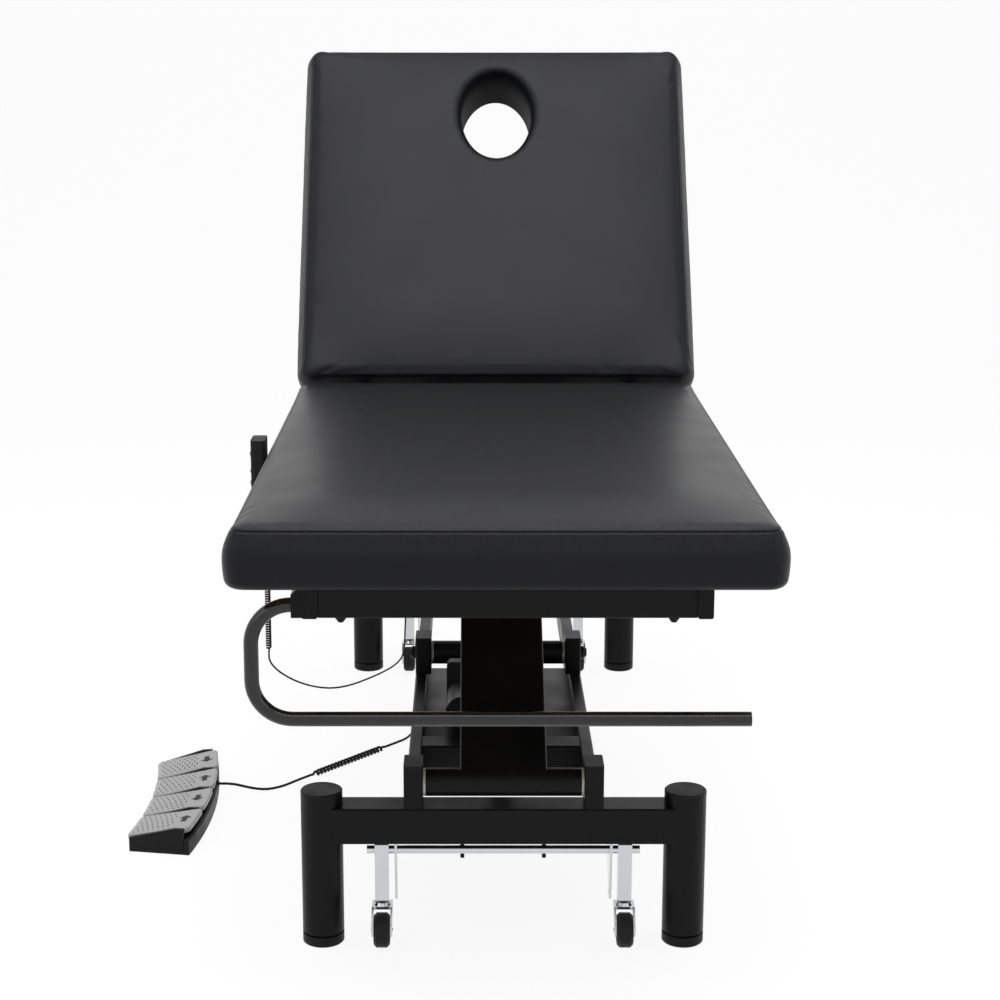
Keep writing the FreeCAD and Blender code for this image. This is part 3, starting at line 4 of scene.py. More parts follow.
import bpy
import numpy as np
from bpy.props import FloatProperty, FloatVectorProperty, PointerProperty
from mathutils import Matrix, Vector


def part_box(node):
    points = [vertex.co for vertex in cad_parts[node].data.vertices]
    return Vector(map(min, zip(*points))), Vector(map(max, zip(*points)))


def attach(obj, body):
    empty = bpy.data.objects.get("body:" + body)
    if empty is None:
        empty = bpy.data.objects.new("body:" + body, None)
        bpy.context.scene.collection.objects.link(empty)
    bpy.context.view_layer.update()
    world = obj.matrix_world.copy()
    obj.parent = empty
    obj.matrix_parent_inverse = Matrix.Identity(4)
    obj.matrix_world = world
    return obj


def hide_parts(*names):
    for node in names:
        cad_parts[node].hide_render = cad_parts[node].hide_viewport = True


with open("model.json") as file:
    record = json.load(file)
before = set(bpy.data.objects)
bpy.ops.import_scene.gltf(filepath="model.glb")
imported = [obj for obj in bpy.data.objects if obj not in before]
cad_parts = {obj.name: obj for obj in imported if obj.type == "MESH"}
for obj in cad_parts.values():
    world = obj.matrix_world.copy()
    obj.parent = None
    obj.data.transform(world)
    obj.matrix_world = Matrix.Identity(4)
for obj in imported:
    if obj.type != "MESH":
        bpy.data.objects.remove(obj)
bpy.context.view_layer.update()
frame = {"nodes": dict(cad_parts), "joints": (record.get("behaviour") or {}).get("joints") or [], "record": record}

bl_info = {
    "name": "Treatment table finishes",
    "version": (1, 0, 0),
    "blender": (4, 5, 0),
    "location": "View3D > Sidebar > Table",
    "description": "Cushions, cords, treadle covers and finishes of an electric treatment table",
    "category": "Object",
}

JOINTS = {joint["name"]: joint for joint in frame["joints"]}
SLOT_OF = {part["node"]: part["material_slot"] for part in frame["record"]["subparts"]}
HINGE = np.array(JOINTS["backrest_hinge"]["pos_m"])
BACK_LEAN = -math.radians(JOINTS["backrest_hinge"]["range_deg"][0])

# Camera, from the photograph's horizon and the table's known widths
CAMERA_PLACE = (-0.045, -3.448, 1.2723)
CAMERA_PITCH = math.radians(77.465)
CAMERA_LENS = 74.16
CAMERA_SHIFT = 0.028

# Cord routes in metres, the source's own points
HANDSET_COIL_TOP = (-0.358, -0.39967, 0.528)
HANDSET_COIL_WAY = (0.0, 0.0, -1.0)
HANDSET_TURNS = 44
HANDSET_PITCH = 0.0037
HANDSET_ROUTE = (
    (-0.358, -0.39967, 0.3432), (-0.353, -0.39807, 0.3322), (-0.340, -0.39367, 0.3182),
    (-0.318, -0.38167, 0.3012), (-0.292, -0.36167, 0.2862), (-0.266, -0.33567, 0.2752),
    (-0.240, -0.29797, 0.2682), (-0.214, -0.250, 0.2642), (-0.193, -0.200, 0.2592),
    (-0.176, -0.148, 0.2542), (-0.165, -0.095, 0.2502), (-0.161, -0.048, 0.2542), (-0.1615, -0.008, 0.2682),
    (-0.161, 0.022, 0.2952), (-0.1585, 0.044, 0.3352), (-0.1555, 0.058, 0.3852), (-0.153, 0.0673, 0.4372),
    (-0.152, 0.07033, 0.512), (-0.152, 0.07033, 0.548))
SWITCH_ROUTE = (
    (-0.48145, -0.08067, 0.022), (-0.45950, -0.07921, 0.022), (-0.432, -0.0735, 0.012),
    (-0.404, -0.0635, 0.004), (-0.376, -0.045, 0.0034), (-0.352, -0.0215, 0.0062))
SWITCH_COIL_START = (-0.334, 0.0, 0.0062)
SWITCH_COIL_END = (-0.200, 0.160, 0.0062)
SWITCH_TURNS = 21
INNER_ROUTE = (
    (-0.182, 0.1815, 0.0062), (-0.168, 0.207, 0.0034), (-0.159, 0.236, 0.0027), (-0.152, 0.265, 0.004),
    (-0.1455, 0.291, 0.014), (-0.139, 0.311, 0.036), (-0.134, 0.324, 0.068), (-0.132, 0.3305, 0.104),
    (-0.132, 0.331, 0.143))
POINTS_PER_TURN = 12

CUSHION_FRAMES = 14
STITCH_RING = 6
STITCH_RUN = 5
OVAL_STEPS = 120


def metres(name, description, value):
    return FloatProperty(name=name, description=description, default=value, unit="LENGTH")


class TableSizes(bpy.types.PropertyGroup):
    """Sizes of the soft pieces and covers."""
    pad_cell: metres("Cushion cell", "Spacing of the cushion's surface grid", 0.006)
    pad_corner: metres("Cushion corner", "Plan radius of a cushion's corners", 0.030)
    pad_crown: metres("Crown", "Rise of a cushion's middle above its edge", 0.010)
    crown_reach: metres("Crown reach", "Distance over which the crown rises", 0.12)
    pad_fill: metres("Side fill", "How far a cushion stands out past its solid's sides", 0.0045)
    pad_rise: metres("Top fill", "How far a cushion stands above its solid", 0.006)
    pad_shift: metres("Cushion shift", "How far the cushions sit left of the middle", 0.0025)
    edge_roll: metres("Edge roll", "Width of the soft roll along the top edge", 0.022)
    seam_drop: metres("Seam drop", "Height of the roll above the edge seam", 0.0045)
    seam_depth: metres("Seam depth", "Depth of the groove along a seam", 0.0018)
    side_bulge: metres("Side bulge", "How far the side stands out past the seam", 0.011)
    under_roll: metres("Lower roll", "Radius of the lower edge", 0.013)
    under_hang: metres("Lower overhang", "How far the lower edge hangs below the board", 0.004)
    board_show: metres("Board reveal", "How far the board stands below the cover", 0.0015)
    swell_cap: metres("Swell", "Most that the foam pushes the cover out", 0.003)
    stitch_length: metres("Stitch", "Length of one stitch", 0.0044)
    stitch_pitch: metres("Stitch pitch", "Spacing of stitches", 0.0066)
    stitch_width: metres("Thread", "Thickness of the sewing thread", 0.0010)
    rim_roll: metres("Hole roll", "Width of the dip round the face hole", 0.020)
    rim_drop: metres("Hole dip", "Depth of the dip round the face hole", 0.013)
    sleeve_wall: metres("Sleeve wall", "Thickness of the face hole's lining", 0.0015)
    handset_cord: metres("Handset cord", "Diameter of the handset's cord", 0.0028)
    handset_coil: metres("Handset coil", "Outer diameter of the handset's coil", 0.0096)
    switch_cord: metres("Switch cord", "Diameter of the foot switch's cord", 0.0045)
    switch_coil: metres("Switch coil", "Outer diameter of the foot switch's coil", 0.012)
    cover_dome: metres("Cover dome", "Rise of a treadle cover's middle", 0.0022)
    cover_corner: metres("Cover corner", "Plan radius of a treadle cover", 0.009)
    cover_edge: metres("Cover edge", "Radius of a treadle cover's rim", 0.0035)
    cover_skirt: metres("Cover skirt", "Depth of a treadle cover's side", 0.009)
    dot_pitch: metres("Dot pitch", "Spacing of the dots along a treadle's row", 0.0085)
    arrow_length: metres("Arrow", "Length of the arrow mark on a treadle", 0.026)
    mark_depth: metres("Mark depth", "Thickness of a printed mark", 0.0003)


def tint(name, value):
    return FloatVectorProperty(
        name=name, description=f"Colour of the {name.lower()}", default=value, size=3, subtype="COLOR",
        min=0, max=1)


class TableColours(bpy.types.PropertyGroup):
    """Colours of the finishes, linear."""
    leatherette: tint("Leatherette", (0.0060, 0.0063, 0.0082))
    # Lighter leatherette that the grain mixes in: random wear, and painted sheen on the pebble tops, with the
    # creases left darker
    leatherette_worn: tint("Leatherette highlights", (0.0074, 0.0078, 0.0100))
    thread: tint("Sewing thread", (0.006, 0.006, 0.007))
    frame_paint: tint("Frame paint", (0.0062, 0.0062, 0.0066))
    # Lighter frame paint that the grain mixes in: random dust, and painted sheen on the paint ripple's crests
    frame_dust: tint("Frame paint highlights", (0.0082, 0.0082, 0.0086))
    bar_paint: tint("Bar paint", (0.0060, 0.0060, 0.0066))
    chrome: tint("Chrome", (0.55, 0.56, 0.58))
    steel: tint("Ground steel", (0.50, 0.50, 0.51))
    wheel_rubber: tint("Wheel rubber", (0.018, 0.018, 0.0185))
    treadle_grey: tint("Treadle covers", (0.39, 0.39, 0.395))
    treadle_dot: tint("Treadle dots", (0.045, 0.045, 0.048))
    nylon: tint("Nylon bushes", (0.66, 0.66, 0.63))
    key_grey: tint("Handset keys", (0.16, 0.16, 0.165))
    cord_rubber: tint("Cord jacket", (0.0095, 0.0095, 0.010))
    black_plastic: tint("Black plastic", (0.0105, 0.0105, 0.011))
    casing: tint("Actuator casing", (0.0125, 0.0125, 0.0135))
    plywood: tint("Plywood", (0.36, 0.24, 0.13))
    plywood_dark: tint("Plywood grain", (0.23, 0.14, 0.07))
    mark: tint("Printed marks", (0.012, 0.012, 0.012))
    floor: tint("Studio floor", (0.93, 0.93, 0.93))


# Node trees


class Nodes:
    """Short calls for one node tree."""

    def __init__(self, tree):
        self.tree = tree

    def add(self, kind, inputs=None, **settings):
        """A node with its settings, whose inputs are linked from sockets or set to values."""
        node = self.tree.nodes.new(kind)
        for name, value in settings.items():
            setattr(node, name, value)
        for socket, value in (inputs or {}).items():
            if isinstance(value, bpy.types.NodeSocket):
                self.tree.links.new(value, node.inputs[socket])
            else:
                node.inputs[socket].default_value = value
        return node

    def math(self, operation, first, second=0.0, third=0.0):
        return self.add("ShaderNodeMath", {0: first, 1: second, 2: third}, operation=operation).outputs[0]

    def ramp(self, value, low, high, to_low=0.0, to_high=1.0):
        """A smooth step of a value from one range to another."""
        return self.add("ShaderNodeMapRange", {
            "Value": value, "From Min": low, "From Max": high, "To Min": to_low, "To Max": to_high},
            interpolation_type="SMOOTHSTEP").outputs["Result"]

    def noise(self, vector, scale, detail):
        inputs = {"Vector": vector, "Scale": scale, "Detail": detail}
        return self.add("ShaderNodeTexNoise", inputs).outputs["Fac"]

    def blend(self, fine, broad, fine_share):
        """The weighted mean of a fine and a broad pattern."""
        return self.math("MULTIPLY_ADD", fine, fine_share, self.math("MULTIPLY", broad, 1 - fine_share))

    def mix(self, factor, first, second):
        return self.add("ShaderNodeMix", {0: factor, 6: first, 7: second}, data_type="RGBA").outputs[2]

    def bump(self, height, distance):
        inputs = {"Height": height, "Distance": distance, "Strength": 1.0}
        return self.add("ShaderNodeBump", inputs).outputs[0]


def new_group(name, inputs, outputs):
    """An empty shader group with named sockets; gives its nodes, its inputs and its outputs."""
    tree = bpy.data.node_groups.new(name, "ShaderNodeTree")
    for label, kind in inputs:
        tree.interface.new_socket(label, in_out="INPUT", socket_type="NodeSocket" + kind)
    for label, kind in outputs:
        tree.interface.new_socket(label, in_out="OUTPUT", socket_type="NodeSocket" + kind)
    nodes = Nodes(tree)
    return nodes, nodes.add("NodeGroupInput").outputs, nodes.add("NodeGroupOutput").inputs


GRAIN_INPUTS = (("Vector", "Vector"), ("Scale", "Float"), ("Dark", "Color"), ("Light", "Color"),
                ("Smooth", "Float"), ("Rough", "Float"))
GRAIN_OUTPUTS = (("Colour", "Color"), ("Roughness", "Float"), ("Height", "Float"))

# Patterns: shares of a grain's scale, ranges that a noise is stretched from, and sizes in metres
CLOUD_SHARE = 0.016
CLOUD_RANGE = 0.3, 0.7
SMUDGE_RANGE = 0.35, 0.75
WANDER_SHARE = 0.5
WANDER = 0.0007
CREASE = 0.22
SCRATCH_STRETCH = (1.0, 0.06, 1.0)

# Treadle dots: the field's half sizes and shift, the drawing out along the cover, the edge and the depth
DOT_HALF_LENGTH = 0.036
DOT_HALF_WIDTH = 0.031
DOT_FIELD_SHIFT = 0.014
DOT_SQUEEZE = (0.36, 1.0, 1.0)
DOT_EDGE = 0.27, 0.21
DOT_DEPTH = 8.0


def slow_clouds(nodes, given, detail, limits):
    """Patches that are far broader than the grain."""
    scale = nodes.math("MULTIPLY", given["Scale"], CLOUD_SHARE)
    return nodes.ramp(nodes.noise(given["Vector"], scale, detail), *limits)


def give_grain(nodes, given, out, mottle, wear, height, ends=("Smooth", "Rough")):
    """Links a grain's outputs: colour from dark to light with the mottle, roughness with the wear."""
    links = nodes.tree.links
    links.new(nodes.mix(mottle, given["Dark"], given["Light"]), out["Colour"])
    links.new(nodes.ramp(wear, 0.0, 1.0, *(given[end] for end in ends)), out["Roughness"])
    links.new(height, out["Height"])


def make_fine_grain():
    """Powder coat and moulded plastic: a fine ripple, with broad clouds of colour and gloss."""
    nodes, given, out = new_group("fine_grain", GRAIN_INPUTS, GRAIN_OUTPUTS)
    ripple = nodes.noise(given["Vector"], given["Scale"], detail=3.0)
    clouds = slow_clouds(nodes, given, 4.0, CLOUD_RANGE)
    give_grain(nodes, given, out, nodes.blend(ripple, clouds, fine_share=0.35), clouds, ripple)


def make_leather_grain():
    """Coated fabric: small pebbles split by creases, on a slow unevenness."""
    nodes, given, out = new_group("leather_grain", GRAIN_INPUTS, GRAIN_OUTPUTS)
    scale = nodes.math("MULTIPLY", given["Scale"], WANDER_SHARE)
    wander = nodes.add("ShaderNodeTexNoise", {"Vector": given["Vector"], "Scale": scale, "Detail": 2.0})
    shift = nodes.add("ShaderNodeVectorMath", {0: wander.outputs["Color"], "Scale": WANDER},
                      operation="SCALE")
    place = nodes.add("ShaderNodeVectorMath", {0: given["Vector"], 1: shift.outputs[0]}, operation="ADD")
    pebbles = nodes.add("ShaderNodeTexVoronoi", {"Vector": place.outputs[0], "Scale": given["Scale"]},
                        feature="DISTANCE_TO_EDGE")
    relief = nodes.ramp(pebbles.outputs["Distance"], 0.0, CREASE)
    mottle = nodes.blend(relief, slow_clouds(nodes, given, 3.0, CLOUD_RANGE), fine_share=0.4)
    give_grain(nodes, given, out, mottle, mottle, relief, ends=("Rough", "Smooth"))


def make_brush_marks():
    """Plated and ground metal: long fine scratches one way, and soft finger smudges."""
    nodes, given, out = new_group("brush_marks", GRAIN_INPUTS, GRAIN_OUTPUTS)
    stretched = nodes.add("ShaderNodeMapping", {"Vector": given["Vector"], "Scale": SCRATCH_STRETCH})
    scratches = nodes.noise(stretched.outputs[0], given["Scale"], detail=5.0)
    wear = nodes.blend(scratches, slow_clouds(nodes, given, 3.0, SMUDGE_RANGE), fine_share=0.4)
    give_grain(nodes, given, out, wear, wear, scratches)


def make_dot_lattice():
    """A diagonal lattice of dots, drawn out along the cover, in a field of its own UV map, as a mask."""
    halves = "Half length", "Half width"
    nodes, given, out = new_group(
        "dot_lattice", (("UV", "Vector"), ("Pitch", "Float"), *((half, "Float") for half in halves)),
        (("Mask", "Float"),))
    squeezed = nodes.add("ShaderNodeMapping", {"Vector": given["UV"], "Scale": DOT_SQUEEZE})
    turned = nodes.add("ShaderNodeMapping", {
        "Vector": squeezed.outputs[0], "Rotation": (0.0, 0.0, math.pi / 4)})
    dots = nodes.add("ShaderNodeTexVoronoi", {
        "Vector": turned.outputs[0], "Scale": nodes.math("DIVIDE", 1.0, given["Pitch"]), "Randomness": 0.0},
        voronoi_dimensions="2D").outputs["Distance"]
    split = nodes.add("ShaderNodeSeparateXYZ", {0: given["UV"]}).outputs
    along, across = (nodes.math("LESS_THAN", nodes.math("ABSOLUTE", split[i]), given[half])
                     for i, half in enumerate(halves))
    field = nodes.math("MULTIPLY", along, across)
    nodes.tree.links.new(nodes.math("MULTIPLY", nodes.ramp(dots, *DOT_EDGE), field), out["Mask"])


def new_material(name, constants):
    """A material whose shader has these constants; gives the material, its nodes and the shader."""
    material = bpy.data.materials.new(name)
    material.use_nodes = True
    nodes = Nodes(material.node_tree)
    shader = material.node_tree.nodes["Principled BSDF"]
    for socket, value in constants.items():
        shader.inputs[socket].default_value = value
    return material, nodes, shader


def opaque(colour):
    return (*colour, 1.0)


def grained(name, group, dark, light, smooth, rough, scale, relief, constants):
    """A finish whose colour, gloss and relief come from one of the grain groups, on Object coordinates."""
    _, nodes, shader = new_material(name, constants)
    place = nodes.add("ShaderNodeTexCoord").outputs["Object"]
    grain = nodes.add("ShaderNodeGroup", node_tree=bpy.data.node_groups[group])
    for socket, value in (("Scale", scale), ("Dark", opaque(dark)), ("Light", opaque(light)),
                          ("Smooth", smooth), ("Rough", rough)):
        grain.inputs[socket].default_value = value
    links = nodes.tree.links
    links.new(place, grain.inputs["Vector"])
    links.new(grain.outputs["Colour"], shader.inputs["Base Color"])
    links.new(grain.outputs["Roughness"], shader.inputs["Roughness"])
    links.new(nodes.bump(grain.outputs["Height"], relief), shader.inputs["Normal"])


def shade(colour, share):
    return tuple(share * part for part in colour)


def finish_of(slot):
    return bpy.data.materials[slot + "_finish"]


COAT, LEATHER, LOW_GLOSS, MATT = ({"Specular IOR Level": level} for level in (0.5, 0.16, 0.12, 0.03))
METAL, PLAIN = {"Metallic": 1.0}, {}

# By grain: slot, dark colour, its share, light colour, its share, smooth, rough, scale, relief, constants
FINISHES = {
    "fine_grain": (
        # Frame paint: its light colour is random dust and painted sheen
        ("frame_paint", "frame_paint", 1, "frame_dust", 1, 0.30, 0.42, 420.0, 0.00010, LOW_GLOSS),
        ("bar_paint", "bar_paint", 1, "bar_paint", 1.4, 0.16, 0.24, 240.0, 0.00005, COAT),
        ("thread", "thread", 1, "thread", 2.0, 0.5, 0.7, 2500.0, 0.00010, LOW_GLOSS),
        ("wheel_rubber", "wheel_rubber", 1, "wheel_rubber", 1.7, 0.42, 0.6, 700.0, 0.00010, LOW_GLOSS),
        ("nylon", "nylon", 0.92, "nylon", 1, 0.4, 0.55, 800.0, 0.00004, PLAIN),
        ("key_grey", "key_grey", 0.9, "key_grey", 1, 0.4, 0.55, 900.0, 0.00005, PLAIN),
        ("treadle_grey", "treadle_grey", 0.92, "treadle_grey", 1.06, 0.38, 0.5, 900.0, 0.00005, PLAIN),
        ("cord_rubber", "cord_rubber", 1, "cord_rubber", 1.6, 0.3, 0.45, 900.0, 0.00005, LOW_GLOSS),
        ("black_plastic", "black_plastic", 1, "black_plastic", 1.5, 0.38, 0.52, 1100.0, 0.00008, LOW_GLOSS),
        ("actuator_casing", "casing", 1, "casing", 1.4, 0.34, 0.46, 500.0, 0.00008, LOW_GLOSS),
        ("printed_mark", "mark", 1, "mark", 1.5, 0.4, 0.5, 900.0, 0.00002, LOW_GLOSS)),
    "leather_grain": (
        # Leatherette: its light colour is random wear and painted sheen
        ("black_leatherette", "leatherette", 1, "leatherette_worn", 1, 0.29, 0.34, 620.0, 0.00010, LEATHER),
        ("lining", "thread", 1, "leatherette", 1, 0.5, 0.6, 620.0, 0.00010, MATT)),
    "brush_marks": (
        ("plywood", "plywood_dark", 1, "plywood", 1, 0.5, 0.65, 160.0, 0.0001, LOW_GLOSS),
        ("chrome", "chrome", 1, "chrome", 1.12, 0.07, 0.2, 900.0, 0.00001, METAL),
        ("brushed_steel", "steel", 0.85, "steel", 1, 0.22, 0.36, 700.0, 0.00002, METAL)),
}


def add_treadle_dots(colours, sizes):
    """Gives the treadles' grey finish dark recessed dots that follow the cover's own length and width."""
    material = finish_of("treadle_grey")
    nodes = Nodes(material.node_tree)
    links = nodes.tree.links
    shader = nodes.tree.nodes["Principled BSDF"]
    uv = nodes.add("ShaderNodeUVMap", uv_map="cover").outputs[0]
    lattice = nodes.add("ShaderNodeGroup", {
        "UV": uv, "Pitch": sizes.dot_pitch / math.sqrt(2), "Half length": DOT_HALF_LENGTH,
        "Half width": DOT_HALF_WIDTH}, node_tree=bpy.data.node_groups["dot_lattice"])
    mask = lattice.outputs["Mask"]
    plain = shader.inputs["Base Color"].links[0].from_socket
    links.new(nodes.mix(mask, plain, opaque(colours.treadle_dot)), shader.inputs["Base Color"])
    relief = shader.inputs["Normal"].links[0].from_node
    ripple = relief.inputs["Height"].links[0].from_socket
    links.new(nodes.math("MULTIPLY_ADD", mask, -DOT_DEPTH, ripple), relief.inputs["Height"])


class TABLE_OT_finishes(bpy.types.Operator):
    """Gives every CAD node the finish of its material slot"""
    bl_idname = "table.finishes"
    bl_label = "Frame finishes"

    def execute(self, context):
        colours, sizes = context.scene.table_colours, context.scene.table_sizes
        make_fine_grain()
        make_leather_grain()
        make_brush_marks()
        make_dot_lattice()
        for grain, rows in FINISHES.items():
            for slot, dark, dark_share, light, light_share, *rest in rows:
                dark = shade(getattr(colours, dark), dark_share)
                light = shade(getattr(colours, light), light_share)
                grained(slot + "_finish", grain, dark, light, *rest)
        add_treadle_dots(colours, sizes)
        for name, node in frame["nodes"].items():
            node.material_slots[0].material = finish_of(SLOT_OF[name])
        return {"FINISHED"}


# Surfaces


def grid_faces(rows, columns, closed_rows=False, closed_columns=False):
    """Quads between neighbours in a grid held row by row; a closed way joins its last line to its first."""
    row, column = np.meshgrid(np.arange(rows if closed_rows else rows - 1),
                              np.arange(columns if closed_columns else columns - 1), indexing="ij")
    below, beside = (row + 1) % rows, (column + 1) % columns
    corners = [line * columns + place for line, place in (
        (row, column), (row, beside), (below, beside), (below, column))]
    return np.stack(corners, axis=-1).reshape(-1, 4)


def new_mesh(name, points, faces, smooth=True):
    mesh = bpy.data.meshes.new(name)
    mesh.from_pydata(points.tolist(), [], faces if isinstance(faces, list) else faces.tolist())
    mesh.polygons.foreach_set("use_smooth", np.full(len(mesh.polygons), smooth))
    return mesh


def link_new(name, data):
    """A new object in the scene."""
    piece = bpy.data.objects.new(name, data)
    bpy.context.scene.collection.objects.link(piece)
    return piece


def add_piece(name, points, faces, slot, body, uv=None, smooth=True):
    """Puts a computed surface into a mesh piece that rides on a body."""
    mesh = new_mesh(name, points, faces, smooth)
    if uv is not None:
        corners = np.empty(len(mesh.loops), dtype=np.int32)
        mesh.loops.foreach_get("vertex_index", corners)
        mesh.uv_layers.new(name="cover").data.foreach_set("uv", uv[corners].astype(np.float32).ravel())
    mesh.materials.append(finish_of(slot))
    piece = link_new(name, mesh)
    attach(piece, body)
    return piece


def mesh_points(mesh):
    flat = np.empty(3 * len(mesh.vertices), dtype=np.float32)
    mesh.vertices.foreach_get("co", flat)
    return flat.reshape(-1, 3).astype(float)


def node_points(name):
    return mesh_points(frame["nodes"][name].data)


def onto_back(points):
    """Turns points drawn flat from the hinge axis about that axis, by the backrest's lean."""
    across, along, up = points.T
    cos, sin = math.cos(BACK_LEAN), math.sin(BACK_LEAN)
    return np.column_stack([across, HINGE[1] + along * cos - up * sin, HINGE[2] + along * sin + up * cos])


def from_back(points):
    """Lays points on the backrest flat again, measured from the hinge axis."""
    across, along, up = (points - [0.0, HINGE[1], HINGE[2]]).T
    cos, sin = math.cos(BACK_LEAN), math.sin(BACK_LEAN)
    return np.column_stack([across, along * cos + up * sin, up * cos - along * sin])


LEAST_RADIUS = 1e-6
LEAST_WAY = 1e-9
NEARLY_THERE = 1e-8


def rounded_rim(across, along, half, inset, corner):
    """Carries points on the rim of a rectangle, drawn in by inset, onto the rim with its corners rounded.

    Each point is split into the nearest point of the rectangle that is smaller by the corner's radius, and
    the way out from there, which is given the length of the radius. Gives the point and that way out."""
    radius = np.maximum(corner - inset, LEAST_RADIUS)
    limit_x, limit_y = half[0] - inset - radius, half[1] - inset - radius
    core_x, core_y = np.clip(across, -limit_x, limit_x), np.clip(along, -limit_y, limit_y)
    out_x, out_y = across - core_x, along - core_y
    far = np.maximum(np.hypot(out_x, out_y), LEAST_WAY)
    out_x, out_y = out_x / far, out_y / far
    reach = np.where(far < NEARLY_THERE, 0.0, radius)
    return core_x + out_x * reach, core_y + out_y * reach, out_x, out_y


class CushionForm:
    """A closed cushion: a grid over the top, bands down its side, and the same grid below.

    The top's points lie on rings drawn in from the edge, each a rounded rectangle, and rise by the product
    of two quarter sines, one for each way in from the edge. The side is a profile carried round the edge."""

    def __init__(self, width, length, profile, crown, crown_reach, corner, cell):
        self.half = np.array([width, length]) / 2
        self.insets, self.heights = profile
        columns, rows = int(width / cell) + 1, int(length / cell) + 1
        self.shape = rows, columns
        unit_x, unit_y = np.meshgrid(np.linspace(-1, 1, columns), np.linspace(-1, 1, rows))
        number = np.arange(rows * columns).reshape(rows, columns)
        rim = np.concatenate([number[0, :-1], number[:-1, -1], number[-1, :0:-1], number[:0:-1, 0]])
        rings = len(self.insets)

        inward = np.stack([1 - np.abs(unit_x.ravel()), 1 - np.abs(unit_y.ravel())], axis=-1)
        rise = np.clip(inward * (self.half - self.insets[0]) / crown_reach, 0, 1)
        crest = self.heights[0] + crown * np.prod(np.sin(rise * math.pi / 2), axis=1)
        top = self._level(unit_x, unit_y, self.insets[0], corner, crest)
        rim_x, rim_y = unit_x.ravel()[rim], unit_y.ravel()[rim]
        inset = self.insets[1:, None]
        side = rounded_rim(
            rim_x * (self.half[0] - inset), rim_y * (self.half[1] - inset), self.half, inset, corner)
        band = np.stack([side[0], side[1], np.broadcast_to(self.heights[1:, None], side[0].shape)], axis=-1)
        self.outward = np.stack([side[2], side[3], np.zeros_like(side[2])], axis=-1)
        under = self._level(unit_x, unit_y, self.insets[-1], corner, self.heights[-1])

        count = rows * columns
        bands = count + np.arange((rings - 1) * len(rim)).reshape(rings - 1, len(rim))
        self.rim_rows = np.vstack([rim, bands])
        inside = np.ones(count, dtype=bool)
        inside[rim] = False
        below = np.empty(count, dtype=int)
        below[rim] = self.rim_rows[-1]
        below[inside] = count + bands.size + np.arange(inside.sum())
        self.points = np.vstack([top, band.reshape(-1, 3), under[inside]])
        quads = grid_faces(rows, columns)
        ring_quads = grid_faces(rings, len(rim), closed_columns=True)
        self.top_faces = quads
        self.side_faces = self.rim_rows.ravel()[ring_quads][:, ::-1]
        self.under_faces = below[quads][:, ::-1]
        self.below = below

    def _level(self, unit_x, unit_y, inset, corner, height):
        """A grid drawn in by inset, at one height or a height for each point."""
        across, along = unit_x.ravel() * (self.half[0] - inset), unit_y.ravel() * (self.half[1] - inset)
        depth = np.minimum(self.half[0] - np.abs(across), self.half[1] - np.abs(along))
        x, y, _, _ = rounded_rim(across, along, self.half, depth, corner)
        return np.column_stack([x, y, np.broadcast_to(height, x.shape)])

    def faces(self):
        return np.vstack([self.top_faces, self.side_faces, self.under_faces])

    def top_height(self, across, along):
        """The top's height at points in plan, between the four grid points round each."""
        rows, columns = self.shape
        grid = self.points[:rows * columns].reshape(rows, columns, 3)
        column = np.clip(np.interp(across, grid[rows // 2, :, 0], np.arange(columns)), 0, columns - 1.001)
        row = np.clip(np.interp(along, grid[:, columns // 2, 1], np.arange(rows)), 0, rows - 1.001)
        i, j = row.astype(int), column.astype(int)
        v, u = row - i, column - j
        z = grid[:, :, 2]
        near, far = (z[line, j] * (1 - u) + z[line, j + 1] * u for line in (i, i + 1))
        return near * (1 - v) + far * v


ROLL_STEPS = 9
SIDE_STEPS = 12
UNDER_STEPS = 6
SEAM_ROW = ROLL_STEPS - 1
NEAR_SEAM = np.array((0.03, 0.07, 0.115))
FULL_AT = 0.6
TUCK = 0.0015
RETURN_REACH = np.array((1.3, 1.6))
RETURN_RISE = 0.7


def cushion_profile(height, hang, sizes):
    """Insets and heights from the top rim down: a quarter-ellipse roll to the seam, a side that swells out
    from it by a quarter sine and draws in a little below, a quarter-round lower edge, and a return up to
    the board."""
    top, bulge, turn = height - sizes.pad_crown, sizes.side_bulge, sizes.under_roll
    seam, low = top - sizes.seam_drop, turn - hang
    lean = np.linspace(0, math.pi / 2, ROLL_STEPS)
    roll = bulge + sizes.edge_roll * (1 - np.sin(lean)), seam + sizes.seam_drop * np.cos(lean)
    share = np.concatenate([NEAR_SEAM, np.linspace(NEAR_SEAM[-1], 1, SIDE_STEPS + 1)[1:]])
    full = np.minimum(share / FULL_AT, 1)
    past = np.maximum(share - FULL_AT, 0) / (1 - FULL_AT)
    side = bulge * (1 - np.sin(full * math.pi / 2)) + TUCK * past ** 2, seam + (low - seam) * share
    lean = np.linspace(0, math.pi / 2, UNDER_STEPS)[1:]
    under = TUCK + turn * (1 - np.cos(lean)), low - turn * np.sin(lean)
    back = TUCK + RETURN_REACH * turn, np.array([-RETURN_RISE * hang, sizes.board_show])
    return tuple(np.concatenate([part[i] for part in (roll, side, under, back)]) for i in (0, 1))


CLOTH = {
    "quality": 4, "use_pressure": True, "uniform_pressure_force": 4.0, "tension_stiffness": 20.0,
    "compression_stiffness": 20.0, "bending_stiffness": 30.0}


